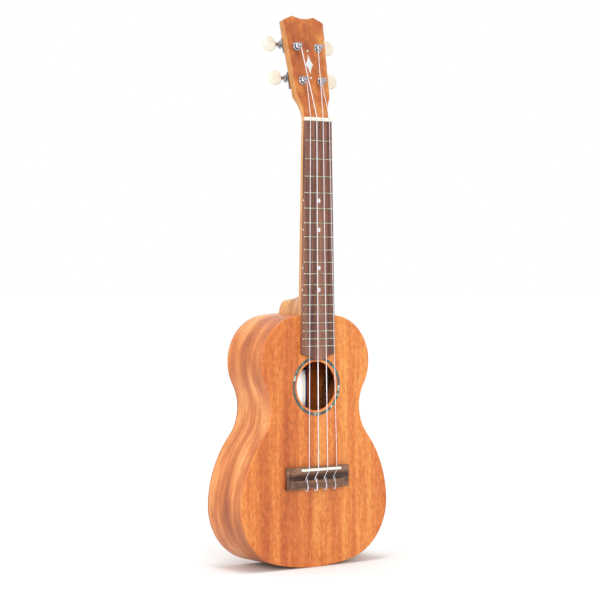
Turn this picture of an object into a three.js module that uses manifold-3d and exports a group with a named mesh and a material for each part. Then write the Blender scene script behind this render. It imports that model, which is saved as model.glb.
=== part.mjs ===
// Concert ukulele: a hollow body, a neck with its fretboard and tilted headstock, four strings
// and four open worm-gear tuners. Millimetres.
//
// The instrument stands upright. +X is the treble side, +Y runs from the soundboard to the
// back, and +Z runs from the tail to the headstock. Inside the instrument group Y = 0 is the
// soundboard's outer face, which is also the fretboard's glue line, and Z = 0 is the tail end.

import * as THREE from 'three';
import { mergeVertices } from 'three/addons/utils/BufferGeometryUtils.js';
import Module from 'manifold-3d';

const wasm = await Module();
wasm.setup();

// ---------------------------------------------------------------- driving dimensions

const SCALE_LENGTH = 380;
const FRET_COUNT = 18;
const JOINT_FRET = 14;

// Body outline on the treble side, from the top centre line to the start of the tail arc.
// A negative turn is the waist, which curves the other way. The tail arc closes the outline.
const BODY_ARCS = [
  { name: 'neck end', radius: 204.3, turn: 8.4 },
  { name: 'upper bout', radius: 51.0, turn: 111.5 },
  { name: 'waist', radius: 49.1, turn: -69.7 },
  { name: 'flank', radius: 120.3, turn: 37.9 },
  { name: 'lower bout', radius: 63.9, turn: 79.4 },
];
const BODY_DEPTH = 66;
const PLATE = 2.2;
const SIDE_WALL = 1.8;
const ARC_STEP = 9;

const HOLE_FROM_NUT = 289.6;
const HOLE_RADIUS = 26.8;
const ROSETTE = { inner: 29.1, outer: 32.7, depth: 1.0, gap: 0.1, gapBelow: 0.05 };

const LINING = { width: 5, height: 7, blockGap: 2 };
const NECK_BLOCK = { halfWidth: 24, length: 22 };
const TAIL_BLOCK = { halfWidth: 20, length: 14 };
const BRACE = { width: 6, height: 9.5 };
const UPPER_BRACE = { fromNut: 250, halfLength: 60 };
const LOWER_BRACE = { fromNut: 330, halfLength: 54 };

const NUT_HALF_WIDTH = 17.75;
const LAST_FRET_HALF_WIDTH = 22.3;
const FRETBOARD = { thickness: 4.5, corner: 253.8 };

// The fretboard's rounded end, past its corner, as half widths and distances from the nut.
const FRETBOARD_END = [
  [10.5, 257.6],
  [6, 260.6],
  [3, 261.4],
];
const FRET = {
  width: 2.0,
  crown: 1.0,
  inset: 0.2,
  tang: 1.7,
  tangWidth: 0.5,
  slotWidth: 0.7,
  slotDepth: 2.0,
};
const NUT = { seat: 4.0, thickness: 3.8, height: 7.0, slotGap: 0.15, slotGapBelow: 0.1 };

const NECK_DEPTH = { nut: 12.0, heel: 13.3, heelStart: 176 };
const NECK_ROUNDNESS = 2 / 2.3;

// The heel, as slices at a depth behind the soundboard's face. fromNut is where the rounded
// nose of the slice lies, and halfWidth is its half width against the body.
const HEEL_SLICES = [
  { depth: 6, fromNut: 164, halfWidth: 18.5 },
  { depth: 10, fromNut: 171, halfWidth: 17.8 },
  { depth: 13.3, fromNut: 177.5, halfWidth: 17.0 },
  { depth: 19, fromNut: 185.5, halfWidth: 15.4 },
  { depth: 26, fromNut: 190.3, halfWidth: 13.8 },
  { depth: 36, fromNut: 193.3, halfWidth: 12.0 },
  { depth: 47, fromNut: 195.0, halfWidth: 10.5 },
  { depth: 56, fromNut: 195.8, halfWidth: 9.5 },
  { depth: 59, fromNut: 197.0, halfWidth: 8.6 },
  { depth: 60, fromNut: 199.0, halfWidth: 7.2 },
];

const HEAD = {
  tilt: 12.3,
  thickness: 10,
  backRoundness: 0.1,
  flarePower: 2.4,
  neckHalfWidth: 17.3,
  cornerHalfWidth: 22.8,
  cornerAt: 24,
  shoulderHalfWidth: 27.4,
  shoulderAt: 110.2,
  peakHalfWidth: 14.3,
  peakAt: 116.6,
  dipAt: 114.0,
  shoulderBulge: 1.2,
};

// Where the headstock's sections are drawn, closely over the flare behind the nut.
const HEAD_SECTIONS = [0, 4, 8, 11, 14, 17, 20, 22, 24];

const BRIDGE = {
  halfLength: 42.3,
  blockHalfLength: 28,
  tail: 86.3,
  nose: 110.4,
  noseEdge: 1.2,
  noseSlope: 1,
  blockEnd: 103.6,
  channelStart: 101,
  channel: 3.6,
  wing: 3.4,
  scoop: 4,
  blockTop: 8.8,
  top: 9,
};
const TIE = { front: 96.0, top: 8.0, frontEdge: 0.6, backEdge: 1, holeHeight: 5.0, holeRadius: 1.1 };
const SADDLE = {
  halfLength: 27,
  thickness: 2.8,
  bottom: 4.1,
  top: 11.4,
  cornerDrop: 2.5,
  cornerRun: 3,
  slotGap: 0.15,
  gapBelow: 0.1,
};

const STRING_HEIGHT = { nut: 6.3, saddle: 12.0, post: 4.6 };

// How far a string runs on, past its post, past each face of the nut, past the middle of the
// saddle both ways, and past each end of its hole in the tie block.
const STRING_RUN = { post: 1.5, aboveNut: 0.6, belowNut: 0.5, saddle: 1.8, tieFront: 0.6, tieBack: 1.2 };
const NUT_SPACING = 8.65;
const SADDLE_SPACING = 12.6;
const STRINGS = [
  { name: 'g', radius: 0.35, side: -1, row: 'low' },
  { name: 'c', radius: 0.5, side: -1, row: 'high' },
  { name: 'e', radius: 0.4, side: 1, row: 'high' },
  { name: 'a', radius: 0.3, side: 1, row: 'low' },
];
const POSTS = {
  low: { across: 12.8, along: 41.8 },
  high: { across: 14.5, along: 80.5 },
};

// Tuner. Depths are measured from the headstock's face towards its back, and distances
// outwards are measured from the post's axis towards the button.
const SEAT_GAP = 0.2;
const RUNNING_GAP = 0.3;
const GLUE_GAP = 0.1;

// How far the neck runs into the body before the body is cut from it, and how far a cutting
// solid runs past what it cuts, lengthways and all round.
const NECK_OVERLAP = 3;
const CUT_PAST = 1;
const CUT_AROUND = 5;

const GEAR = { teeth: 14, pitch: 3.9, root: 3.2, tip: 4.35, width: 3, tipWidth: 0.35, rootWidth: 0.85 };
const WORM = {
  pitch: 2.3,
  root: 1.7,
  crest: 2.75,
  crestWidth: 0.4,
  rootWidth: 0.85,
  turns: 3,
  stepsPerTurn: 10,
  sink: 0.15,
};
const WORM_DEPTH = 15;
const POST = { radius: 2.8, waist: 2.1, end: 17.2, stringHole: 0.65 };

// The post in front of the headstock, from its tip down to its shank, as radii and depths.
const POST_TIP = [
  [2.0, -8.3],
  [2.6, -7.6],
  [2.6, -6.5],
  [2.1, -5.7],
  [2.1, -3.4],
  [2.8, -2.4],
];
const BUSHING = { flange: 5, flangeTop: 1.4, flangeEdge: 0.5, sleeve: 4.1, sleeveEnd: 6 };
const TUNER_PLATE = {
  thickness: 1.0,
  inner: 8.5,
  outer: 11.4,
  below: 7,
  above: 12.5,
  screwRadius: 1.1,
  screwFromSide: 2.5,
  screwFromEnd: 2,
};
const EAR = { thickness: 1.3, innerAt: 7.2, outerAt: 10.1, halfWidth: 4.5, top: 19 };
const SHAFT = { journal: 1.6, stub: 0.8, collar: 2.5, spindle: 1.5, buttonStart: 18.5, spindleLength: 8 };

// The button's length is drawn in sections, at shares of it from the shaft to its outer end.
// It is widest at widestAt. A squareness of 1 gives an oval section, and 0 a rectangle.
const BUTTON = {
  length: 15,
  halfHeight: 8.75,
  halfThickness: 2.75,
  widestAt: 0.47,
  halfSpan: 0.54,
  endPower: 7,
  squareness: 0.6,
  sections: [0, 0.12, 0.3, 0.5, 0.7, 0.85, 0.95, 1],
};

const ROUND = 16;
const SMALL_ROUND = 12;
const RING_ROUND = 20;

// ---------------------------------------------------------------- colours

const COLOURS = {
  top: { color: 0xe0935a, roughness: 0.45, metalness: 0 },
  back: { color: 0xc98548, roughness: 0.45, metalness: 0 },
  neck: { color: 0xd9a068, roughness: 0.5, metalness: 0 },
  inside: { color: 0x8a5a34, roughness: 0.8, metalness: 0 },
  rosewood: { color: 0x6b4534, roughness: 0.55, metalness: 0 },
  bone: { color: 0xf4f0e4, roughness: 0.35, metalness: 0 },
  ivory: { color: 0xf6ecda, roughness: 0.3, metalness: 0 },
  shell: { color: 0x5f9c8a, roughness: 0.25, metalness: 0.1 },
  nickel: { color: 0xc9c4b4, roughness: 0.3, metalness: 1 },
  chrome: { color: 0xd8d8dc, roughness: 0.15, metalness: 1 },
  nylon: { color: 0xe6dfe6, roughness: 0.3, metalness: 0 },
};

// ---------------------------------------------------------------- tools

const rad = THREE.MathUtils.degToRad;

function piece(parent, name, geometry, colour) {
  const mesh = new THREE.Mesh(geometry, new THREE.MeshStandardMaterial(COLOURS[colour]));
  mesh.name = name;
  parent.add(mesh);
  return mesh;
}

function solidOf(geometry) {
  const bare = geometry.clone();
  bare.deleteAttribute('normal');
  bare.deleteAttribute('uv');
  const merged = mergeVertices(bare, 1e-4);
  return new wasm.Manifold(new wasm.Mesh({
    numProp: 3,
    vertProperties: new Float32Array(merged.attributes.position.array),
    triVerts: new Uint32Array(merged.index.array),
  }));
}

function geometryOf(solid) {
  const mesh = solid.getMesh();
  const geometry = new THREE.BufferGeometry();
  geometry.setAttribute('position', new THREE.BufferAttribute(mesh.vertProperties, 3));
  geometry.setIndex(new THREE.BufferAttribute(mesh.triVerts, 1));
  geometry.computeVertexNormals();
  return geometry;
}

// A prism whose section lies in the X-Z plane, running from y0 back to y1.
function prismAlongY(shape, y0, y1, curveSegments = ROUND) {
  const depth = y1 - y0;
  const geometry = new THREE.ExtrudeGeometry(shape, { depth, bevelEnabled: false, curveSegments });
  return geometry.rotateX(Math.PI / 2).translate(0, y1, 0);
}

// A prism whose section lies in the X-Y plane, running from z0 up to z1.
function prismAlongZ(shape, z0, z1) {
  const depth = z1 - z0;
  const geometry = new THREE.ExtrudeGeometry(shape, { depth, bevelEnabled: false, curveSegments: 6 });
  return geometry.translate(0, 0, z0);
}

// A prism along X from x0 to x1, whose section is drawn with Z across and Y up.
function prismAlongX(shape, x0, x1) {
  const depth = x1 - x0;
  const geometry = new THREE.ExtrudeGeometry(shape, { depth, bevelEnabled: false, curveSegments: 4 });
  return geometry.rotateY(-Math.PI / 2).translate(x1, 0, 0);
}

function rod(radius, y0, y1, x = 0, z = 0, segments = ROUND) {
  const geometry = new THREE.CylinderGeometry(radius, radius, y1 - y0, segments);
  return geometry.translate(x, (y0 + y1) / 2, z);
}

function block(x0, x1, y0, y1, z0, z1) {
  const geometry = new THREE.BoxGeometry(x1 - x0, y1 - y0, z1 - z0);
  return geometry.translate((x0 + x1) / 2, (y0 + y1) / 2, (z0 + z1) / 2);
}

// A closed skin over rings that hold the same number of points, with a flat fan on each end.
function loft(rings) {
  const count = rings[0].length;
  const positions = rings.flat().flatMap((point) => point.toArray());
  const index = [];
  for (let ring = 0; ring < rings.length - 1; ring += 1) {
    for (let i = 0; i < count; i += 1) {
      const a = ring * count + i;
      const b = ring * count + ((i + 1) % count);
      index.push(a, b, a + count, b, b + count, a + count);
    }
  }
  const last = (rings.length - 1) * count;
  for (let i = 1; i < count - 1; i += 1) {
    index.push(0, i + 1, i, last, last + i, last + i + 1);
  }
  const geometry = new THREE.BufferGeometry();
  geometry.setAttribute('position', new THREE.Float32BufferAttribute(positions, 3));
  geometry.setIndex(index);
  return geometry;
}

// ---------------------------------------------------------------- body outline

// The outline's treble half, from the top centre to the tail centre, as points in X and Z.
// inset moves it inwards, which only changes the radius of each arc. The tail arc's centre
// lies on the centre line, so its radius follows from where the last driving arc ends.
function halfOutline(inset) {
  const points = [];
  let x = 0;
  let drop = 0;
  let heading = 0;
  const follow = (radius, turn) => {
    const side = Math.sign(turn);
    const centreX = x - side * radius * Math.sin(heading);
    const centreDrop = drop + side * radius * Math.cos(heading);
    const steps = Math.ceil(Math.abs(turn) / rad(ARC_STEP));
    for (let i = points.length ? 1 : 0; i <= steps; i += 1) {
      const angle = heading + (turn * i) / steps;
      const reach = side * (radius - side * inset);
      points.push({
        x: centreX + reach * Math.sin(angle),
        drop: centreDrop - reach * Math.cos(angle),
      });
    }
    x = centreX + side * radius * Math.sin(heading + turn);
    drop = centreDrop - side * radius * Math.cos(heading + turn);
    heading += turn;
  };
  BODY_ARCS.forEach((arc) => follow(arc.radius, rad(arc.turn)));
  follow(x / Math.sin(heading), Math.PI - heading);
  return points.map((point) => new THREE.Vector2(point.x, drop - point.drop));
}

const BODY_LENGTH = halfOutline(0)[0].y;

function fullOutline(inset) {
  const treble = halfOutline(inset);
  const bass = treble.slice(1, -1).reverse().map((point) => new THREE.Vector2(-point.x, point.y));
  return new THREE.Shape([...treble, ...bass]);
}

const NUT_Z = BODY_LENGTH + fretDistance(JOINT_FRET);
const HEAD_Z = NUT_Z + NUT.seat;
const SADDLE_Z = NUT_Z - SCALE_LENGTH;
const HOLE_Z = NUT_Z - HOLE_FROM_NUT;

// Distance from the nut to a fret: each semitone shortens the string by the twelfth root of 2.
function fretDistance(fret) {
  return SCALE_LENGTH * (1 - 2 ** (-fret / 12));
}

// Half the fretboard's width at a distance from the nut.
function boardHalfWidth(fromNut) {
  const taper = (LAST_FRET_HALF_WIDTH - NUT_HALF_WIDTH) / fretDistance(FRET_COUNT);
  return NUT_HALF_WIDTH + taper * fromNut;
}

// ---------------------------------------------------------------- body

function makeSoundboard() {
  const shape = fullOutline(0);
  shape.holes.push(new THREE.Path().absarc(0, HOLE_Z, HOLE_RADIUS, 0, 2 * Math.PI));
  const board = solidOf(prismAlongY(shape, 0, PLATE, RING_ROUND));
  const { inner, outer, depth, gap, gapBelow } = ROSETTE;
  const channel = ring(inner - gap, outer + gap, -CUT_PAST, depth + gapBelow);
  return geometryOf(board.subtract(solidOf(channel)));
}

// A flat ring round the soundhole's axis.
function ring(inner, outer, y0, y1) {
  const shape = new THREE.Shape().absarc(0, HOLE_Z, outer, 0, 2 * Math.PI);
  shape.holes.push(new THREE.Path().absarc(0, HOLE_Z, inner, 0, 2 * Math.PI));
  return prismAlongY(shape, y0, y1, RING_ROUND);
}

// One bent side, from the neck's centre line round to the tail's centre line.
function makeSide(side) {
  return prismAlongY(band(side, 0, SIDE_WALL, () => true), PLATE, BODY_DEPTH - PLATE);
}

// A lining strip, glued in the corner between a side and a plate and stopping at the blocks.
function makeLining(side, y0) {
  const insideWall = SIDE_WALL + LINING.width;
  const clear = (outer) => {
    const atNeck = outer.y > BODY_LENGTH / 2;
    return outer.x > (atNeck ? NECK_BLOCK : TAIL_BLOCK).halfWidth + LINING.blockGap;
  };
  return prismAlongY(band(side, SIDE_WALL, insideWall, clear), y0, y0 + LINING.height);
}

// The strip between two insets of the outline on one side, over the points that keep() takes.
function band(side, outerInset, innerInset, keep) {
  const outer = halfOutline(outerInset);
  const inner = halfOutline(innerInset);
  const kept = outer.map((point, i) => i).filter((i) => keep(outer[i]));
  const loop = [...kept.map((i) => outer[i]), ...kept.reverse().map((i) => inner[i])];
  return new THREE.Shape(loop.map((point) => new THREE.Vector2(side * point.x, point.y)));
}

// An end block fills the body's width and depth between the plates and follows its outline.
function makeEndBlock(halfWidth, z0, z1) {
  const inside = prismAlongY(fullOutline(SIDE_WALL + GLUE_GAP), PLATE, BODY_DEPTH - PLATE);
  const box = block(-halfWidth, halfWidth, 0, BODY_DEPTH, z0, z1);
  return geometryOf(solidOf(inside).intersect(solidOf(box)));
}

function makeBrace({ fromNut, halfLength }) {
  const z = NUT_Z - fromNut;
  const half = BRACE.width / 2;
  return block(-halfLength, halfLength, PLATE, PLATE + BRACE.height, z - half, z + half);
}

// ---------------------------------------------------------------- neck

// Half an oval round the back of the neck, from the treble edge to the bass edge. A roundness
// of 1 is an ellipse, and towards 0 it becomes a rectangle.
function backCurve(halfWidth, depth, roundness) {
  return Array.from({ length: ROUND + 1 }, (_, i) => {
    const angle = (Math.PI * i) / ROUND;
    const across = Math.sign(Math.cos(angle)) * Math.abs(Math.cos(angle)) ** roundness;
    return { x: halfWidth * (i === ROUND / 2 ? 0 : across), depth: depth * Math.sin(angle) ** roundness };
  });
}

// A point given in the headstock's frame: across, behind its face, and up along its face.
function headPoint(x, behind, along) {
  const tilt = rad(HEAD.tilt);
  return new THREE.Vector3(
    x,
    along * Math.sin(tilt) + behind * Math.cos(tilt),
    HEAD_Z + along * Math.cos(tilt) - behind * Math.sin(tilt),
  );
}

function shaftRing(fromNut, depth) {
  const curve = backCurve(boardHalfWidth(fromNut), depth, NECK_ROUNDNESS);
  return curve.map((point) => new THREE.Vector3(point.x, point.depth, NUT_Z - fromNut));
}

// The headstock's sides flare in a hollow curve up to the corner and then run straight. Over
// that flare the neck's round back squares up into the headstock's slab.
function headRing(along) {
  const flare = Math.min(along / HEAD.cornerAt, 1);
  const spread = (HEAD.shoulderHalfWidth - HEAD.cornerHalfWidth) / (HEAD.shoulderAt - HEAD.cornerAt);
  const halfWidth = THREE.MathUtils.lerp(HEAD.neckHalfWidth, HEAD.cornerHalfWidth, flare ** HEAD.flarePower)
    + spread * Math.max(along - HEAD.cornerAt, 0);
  const tilt = rad(HEAD.tilt);
  const neckBack = NECK_DEPTH.nut / Math.cos(tilt) - along * Math.tan(tilt);
  const roundness = THREE.MathUtils.lerp(NECK_ROUNDNESS, HEAD.backRoundness, flare);
  const curve = backCurve(halfWidth, Math.max(neckBack, HEAD.thickness), roundness);
  return curve.map((point) => headPoint(point.x, point.depth, along));
}

function makeShaftAndHead() {
  const pastBody = fretDistance(JOINT_FRET) + NECK_OVERLAP;
  return loft([
    shaftRing(pastBody, NECK_DEPTH.heel),
    shaftRing(NECK_DEPTH.heelStart, NECK_DEPTH.heel),
    shaftRing(0, NECK_DEPTH.nut),
    ...[...HEAD_SECTIONS, HEAD.peakAt + CUT_PAST].map(headRing),
  ]);
}

function makeHeel() {
  const base = BODY_LENGTH - NECK_OVERLAP;
  return loft(HEEL_SLICES.map((slice) => {
    const nose = NUT_Z - slice.fromNut;
    const curve = backCurve(slice.halfWidth, nose - base, NECK_ROUNDNESS);
    return curve.map((point) => new THREE.Vector3(point.x, slice.depth, base + point.depth));
  }).map((points) => points.reverse()));
}

// Everything above the headstock's crown: shoulders, two peaks and the hollow between them.
function crownCutter() {
  const { shoulderHalfWidth: shoulder, shoulderAt, peakHalfWidth: peak, peakAt, dipAt } = HEAD;
  const slope = (peakAt - shoulderAt) / (shoulder - peak);
  const edge = shoulder + CUT_AROUND;
  const edgeAt = shoulderAt - CUT_AROUND * slope;
  const top = peakAt + 2 * CUT_AROUND;
  const bulgeX = (edge + peak) / 2;
  const bulgeAt = (edgeAt + peakAt) / 2 + HEAD.shoulderBulge;
  const shape = new THREE.Shape();
  shape.moveTo(edge, edgeAt);
  shape.quadraticCurveTo(bulgeX, bulgeAt, peak, peakAt);
  shape.quadraticCurveTo(0, 2 * dipAt - peakAt, -peak, peakAt);
  shape.quadraticCurveTo(-bulgeX, bulgeAt, -edge, edgeAt);
  shape.lineTo(-edge, top);
  shape.lineTo(edge, top);
  return prismAlongY(shape, -2 * HEAD.thickness, 3 * HEAD.thickness, 6);
}

// Holes for one post: the bushing's seat near the face, and the post's clearance behind it.
function postCutter(across, along) {
  const through = rod(POST.radius + RUNNING_GAP, -CUT_AROUND, 3 * HEAD.thickness, across, along);
  const seatEnd = BUSHING.sleeveEnd + SEAT_GAP;
  const seat = rod(BUSHING.sleeve + SEAT_GAP, -CUT_AROUND, seatEnd, across, along);
  return solidOf(through).add(solidOf(seat));
}

function makeNeck(toHead) {
  const cutters = [solidOf(crownCutter())];
  for (const post of Object.values(POSTS)) {
    cutters.push(postCutter(-post.across, post.along), postCutter(post.across, post.along));
  }
  const body = solidOf(prismAlongY(fullOutline(-GLUE_GAP), -CUT_PAST, BODY_DEPTH + CUT_PAST));
  let neck = solidOf(makeShaftAndHead()).add(solidOf(makeHeel())).subtract(body);
  for (const cutter of cutters) {
    neck = neck.subtract(cutter.transform(toHead));
  }
  return geometryOf(neck);
}

// ---------------------------------------------------------------- fretboard, frets and nut

function makeFretboard() {
  const treble = [
    [boardHalfWidth(0), 0],
    [boardHalfWidth(FRETBOARD.corner), FRETBOARD.corner],
    ...FRETBOARD_END,
  ].map(([x, fromNut]) => new THREE.Vector2(x, NUT_Z - fromNut));
  const bass = treble.map((point) => new THREE.Vector2(-point.x, point.y)).reverse();
  const shape = new THREE.Shape([...treble, ...bass]);
  let board = solidOf(prismAlongY(shape, -FRETBOARD.thickness, 0));
  for (let fret = 1; fret <= FRET_COUNT; fret += 1) {
    const z = NUT_Z - fretDistance(fret);
    const slotEnd = FRET.slotDepth - FRETBOARD.thickness;
    const half = FRET.slotWidth / 2;
    const front = -FRETBOARD.thickness - CUT_PAST;
    const reach = LAST_FRET_HALF_WIDTH + CUT_AROUND;
    board = board.subtract(solidOf(block(-reach, reach, front, slotEnd, z - half, z + half)));
  }
  return geometryOf(board);
}

// A fret wire: a rounded crown on the board, with its tang down in the slot.
function makeFret(fret) {
  const shape = new THREE.Shape();
  const half = FRET.width / 2;
  const tang = FRET.tangWidth / 2;
  shape.moveTo(half, 0);
  shape.absellipse(0, 0, half, FRET.crown, 0, Math.PI, false, 0);
  shape.lineTo(-tang, 0);
  shape.lineTo(-tang, -FRET.tang);
  shape.lineTo(tang, -FRET.tang);
  shape.lineTo(tang, 0);
  const distance = fretDistance(fret);
  const halfLength = boardHalfWidth(distance) - FRET.inset;
  const wire = prismAlongX(shape, -halfLength, halfLength);
  return wire.rotateX(Math.PI).translate(0, -FRETBOARD.thickness, NUT_Z - distance);
}

function stringAtNut(i) {
  return (i - 1.5) * NUT_SPACING;
}

function stringAtSaddle(i) {
  return (i - 1.5) * SADDLE_SPACING;
}

function makeNut() {
  let nut = solidOf(block(-NUT_HALF_WIDTH, NUT_HALF_WIDTH, -NUT.height, 0, NUT_Z, NUT_Z + NUT.thickness));
  STRINGS.forEach((string, i) => {
    const x = stringAtNut(i);
    const half = string.radius + NUT.slotGap;
    const floor = -STRING_HEIGHT.nut + string.radius + NUT.slotGapBelow;
    const front = -NUT.height - CUT_PAST;
    const slot = block(x - half, x + half, front, floor, NUT_Z - CUT_PAST, NUT_Z + NUT.seat + CUT_PAST);
    nut = nut.subtract(solidOf(slot));
  });
  return geometryOf(nut);
}

// ---------------------------------------------------------------- bridge, saddle and strings

// The bridge is where two prisms meet: its front view, with scooped wings, and its side view,
// with the tie block, the channel and the saddle block.
function makeBridge() {
  const scoopX = BRIDGE.blockHalfLength + BRIDGE.scoop;
  const front = new THREE.Shape();
  front.moveTo(-BRIDGE.halfLength, 0);
  front.lineTo(-BRIDGE.halfLength, -BRIDGE.wing);
  front.quadraticCurveTo(-scoopX, -BRIDGE.wing, -BRIDGE.blockHalfLength, -BRIDGE.top);
  front.lineTo(BRIDGE.blockHalfLength, -BRIDGE.top);
  front.quadraticCurveTo(scoopX, -BRIDGE.wing, BRIDGE.halfLength, -BRIDGE.wing);
  front.lineTo(BRIDGE.halfLength, 0);
  const side = new THREE.Shape([
    [BRIDGE.tail, 0],
    [BRIDGE.nose, 0],
    [BRIDGE.nose, -BRIDGE.blockTop + BRIDGE.noseEdge],
    [BRIDGE.nose - BRIDGE.noseSlope, -BRIDGE.blockTop],
    [BRIDGE.blockEnd, -BRIDGE.blockTop],
    [BRIDGE.channelStart, -BRIDGE.channel],
    [TIE.front, -BRIDGE.channel],
    [TIE.front, -TIE.top + TIE.frontEdge],
    [TIE.front - TIE.frontEdge, -TIE.top],
    [BRIDGE.tail + TIE.backEdge, -TIE.top],
    [BRIDGE.tail, -TIE.top + TIE.backEdge],
  ].map(([z, y]) => new THREE.Vector2(z, y)));
  const frontPrism = solidOf(prismAlongZ(front, BRIDGE.tail - CUT_PAST, BRIDGE.nose + CUT_PAST));
  const sideReach = BRIDGE.halfLength + CUT_PAST;
  const sidePrism = solidOf(prismAlongX(side, -sideReach, sideReach));
  let bridge = frontPrism.intersect(sidePrism);
  const gap = SADDLE.slotGap;
  const half = SADDLE.thickness / 2 + gap;
  const slot = block(
    -SADDLE.halfLength - gap, SADDLE.halfLength + gap, -SADDLE.top, -SADDLE.bottom + SADDLE.gapBelow,
    SADDLE_Z - half, SADDLE_Z + half,
  );
  bridge = bridge.subtract(solidOf(slot));
  STRINGS.forEach((string, i) => {
    const hole = rod(TIE.holeRadius, BRIDGE.tail - CUT_PAST, TIE.front + CUT_PAST, 0, 0, 8);
    hole.rotateX(Math.PI / 2);
    bridge = bridge.subtract(solidOf(hole.translate(stringAtSaddle(i), -TIE.holeHeight, 0)));
  });
  return geometryOf(bridge);
}

function makeSaddle() {
  const { halfLength, thickness, bottom, top, cornerDrop, cornerRun } = SADDLE;
  const shape = new THREE.Shape();
  shape.moveTo(-halfLength, -bottom);
  shape.lineTo(-halfLength, -top + cornerDrop);
  shape.quadraticCurveTo(-halfLength, -top, -halfLength + cornerRun, -top);
  shape.lineTo(halfLength - cornerRun, -top);
  shape.quadraticCurveTo(halfLength, -top, halfLength, -top + cornerDrop);
  shape.lineTo(halfLength, -bottom);
  return prismAlongZ(shape, SADDLE_Z - thickness / 2, SADDLE_Z + thickness / 2);
}

// A path that visits its points in equal steps, so that a swept section turns at each of them.
class JointedPath extends THREE.Curve {
  constructor(points) {
    super();
    this.points = points;
  }

  getPointAt(u, target = new THREE.Vector3()) {
    const place = u * (this.points.length - 1);
    const i = Math.min(Math.floor(place), this.points.length - 2);
    return target.lerpVectors(this.points[i], this.points[i + 1], place - i);
  }

  getTangentAt(u, target = new THREE.Vector3()) {
    const i = Math.round(u * (this.points.length - 1));
    const before = this.points[Math.max(i - 1, 0)];
    const after = this.points[Math.min(i + 1, this.points.length - 1)];
    return target.subVectors(after, before).normalize();
  }
}

// A string, from beside its post, over the nut and the saddle, and through the tie block.
function makeString(i) {
  const { radius, side, row } = STRINGS[i];
  const post = POSTS[row];
  const besidePost = side * (post.across - POST.waist - radius - RUNNING_GAP);
  const nutX = stringAtNut(i);
  const saddleX = stringAtSaddle(i);
  const points = [
    headPoint(besidePost, -STRING_HEIGHT.post, post.along + STRING_RUN.post),
    new THREE.Vector3(nutX, -STRING_HEIGHT.nut, NUT_Z + NUT.thickness + STRING_RUN.aboveNut),
    new THREE.Vector3(nutX, -STRING_HEIGHT.nut, NUT_Z - STRING_RUN.belowNut),
    new THREE.Vector3(saddleX, -STRING_HEIGHT.saddle, SADDLE_Z + STRING_RUN.saddle),
    new THREE.Vector3(saddleX, -STRING_HEIGHT.saddle, SADDLE_Z - STRING_RUN.saddle),
    new THREE.Vector3(saddleX, -TIE.holeHeight, TIE.front + STRING_RUN.tieFront),
    new THREE.Vector3(saddleX, -TIE.holeHeight, BRIDGE.tail - STRING_RUN.tieBack),
  ];
  const section = new THREE.Shape().absarc(0, 0, radius, 0, 2 * Math.PI);
  return new THREE.ExtrudeGeometry(section, {
    steps: points.length - 1,
    curveSegments: 4,
    extrudePath: new JointedPath(points),
  });
}

// ---------------------------------------------------------------- tuners

// In a tuner's group the post's axis is Y, with Y = 0 on the headstock's face and +Y behind
// it. The worm shaft runs along X, above the post, and the button is on the outer end.
const WORM_ABOVE = GEAR.pitch + WORM.pitch;
const LEAD = (2 * Math.PI * GEAR.pitch) / GEAR.teeth;

// A solid of revolution about the Y axis, from [radius, y] pairs that start and end on it.
function turned(pairs, segments = SMALL_ROUND) {
  return new THREE.LatheGeometry(pairs.map(([r, y]) => new THREE.Vector2(r, y)), segments);
}

// The worm wheel's outline, extruded and then twisted so that its teeth follow the thread.
function makeGear() {
  const shape = new THREE.Shape();
  const points = [];
  for (let tooth = 0; tooth < GEAR.teeth; tooth += 1) {
    const middle = (2 * Math.PI * tooth) / GEAR.teeth;
    const corners = [
      [GEAR.root, -GEAR.rootWidth],
      [GEAR.tip, -GEAR.tipWidth],
      [GEAR.tip, GEAR.tipWidth],
      [GEAR.root, GEAR.rootWidth],
    ];
    for (const [radius, width] of corners) {
      const angle = middle + width / 2 / radius;
      points.push(new THREE.Vector2(radius * Math.sin(angle), radius * Math.cos(angle)));
    }
  }
  shape.setFromPoints(points.reverse());
  const half = GEAR.width / 2;
  const gear = prismAlongY(shape, -half, half);
  const twist = LEAD / (2 * Math.PI * WORM.pitch) / GEAR.pitch;
  const position = gear.attributes.position;
  for (let i = 0; i < position.count; i += 1) {
    const y = position.getY(i);
    const point = new THREE.Vector3().fromBufferAttribute(position, i);
    point.applyAxisAngle(new THREE.Vector3(0, 1, 0), twist * y);
    position.setXYZ(i, point.x, point.y, point.z);
  }
  return gear.translate(0, WORM_DEPTH, 0);
}

function makePost() {
  const { radius, waist, end, stringHole } = POST;
  const shoulder = HEAD.thickness + SEAT_GAP + TUNER_PLATE.thickness + RUNNING_GAP;
  const boss = GEAR.root - RUNNING_GAP;
  const body = turned([
    [0, POST_TIP[0][1]],
    ...POST_TIP,
    [radius, shoulder],
    [boss, shoulder],
    [boss, WORM_DEPTH],
    [waist, WORM_DEPTH],
    [waist, end],
    [0, end],
  ]);
  const hole = rod(stringHole, -CUT_AROUND, CUT_AROUND, 0, 0, 8);
  hole.rotateX(Math.PI / 2).translate(0, -STRING_HEIGHT.post, 0);
  return geometryOf(solidOf(body).add(solidOf(makeGear())).subtract(solidOf(hole)));
}

function makeBushing() {
  const { flange, flangeTop, flangeEdge, sleeve, sleeveEnd } = BUSHING;
  const bore = POST.radius + RUNNING_GAP;
  return turned([
    [bore, -flangeTop],
    [flange - flangeEdge, -flangeTop],
    [flange, -flangeTop + flangeEdge],
    [flange, -SEAT_GAP],
    [sleeve, -SEAT_GAP],
    [sleeve, sleeveEnd],
    [bore, sleeveEnd],
    [bore, -flangeTop],
  ]);
}

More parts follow.
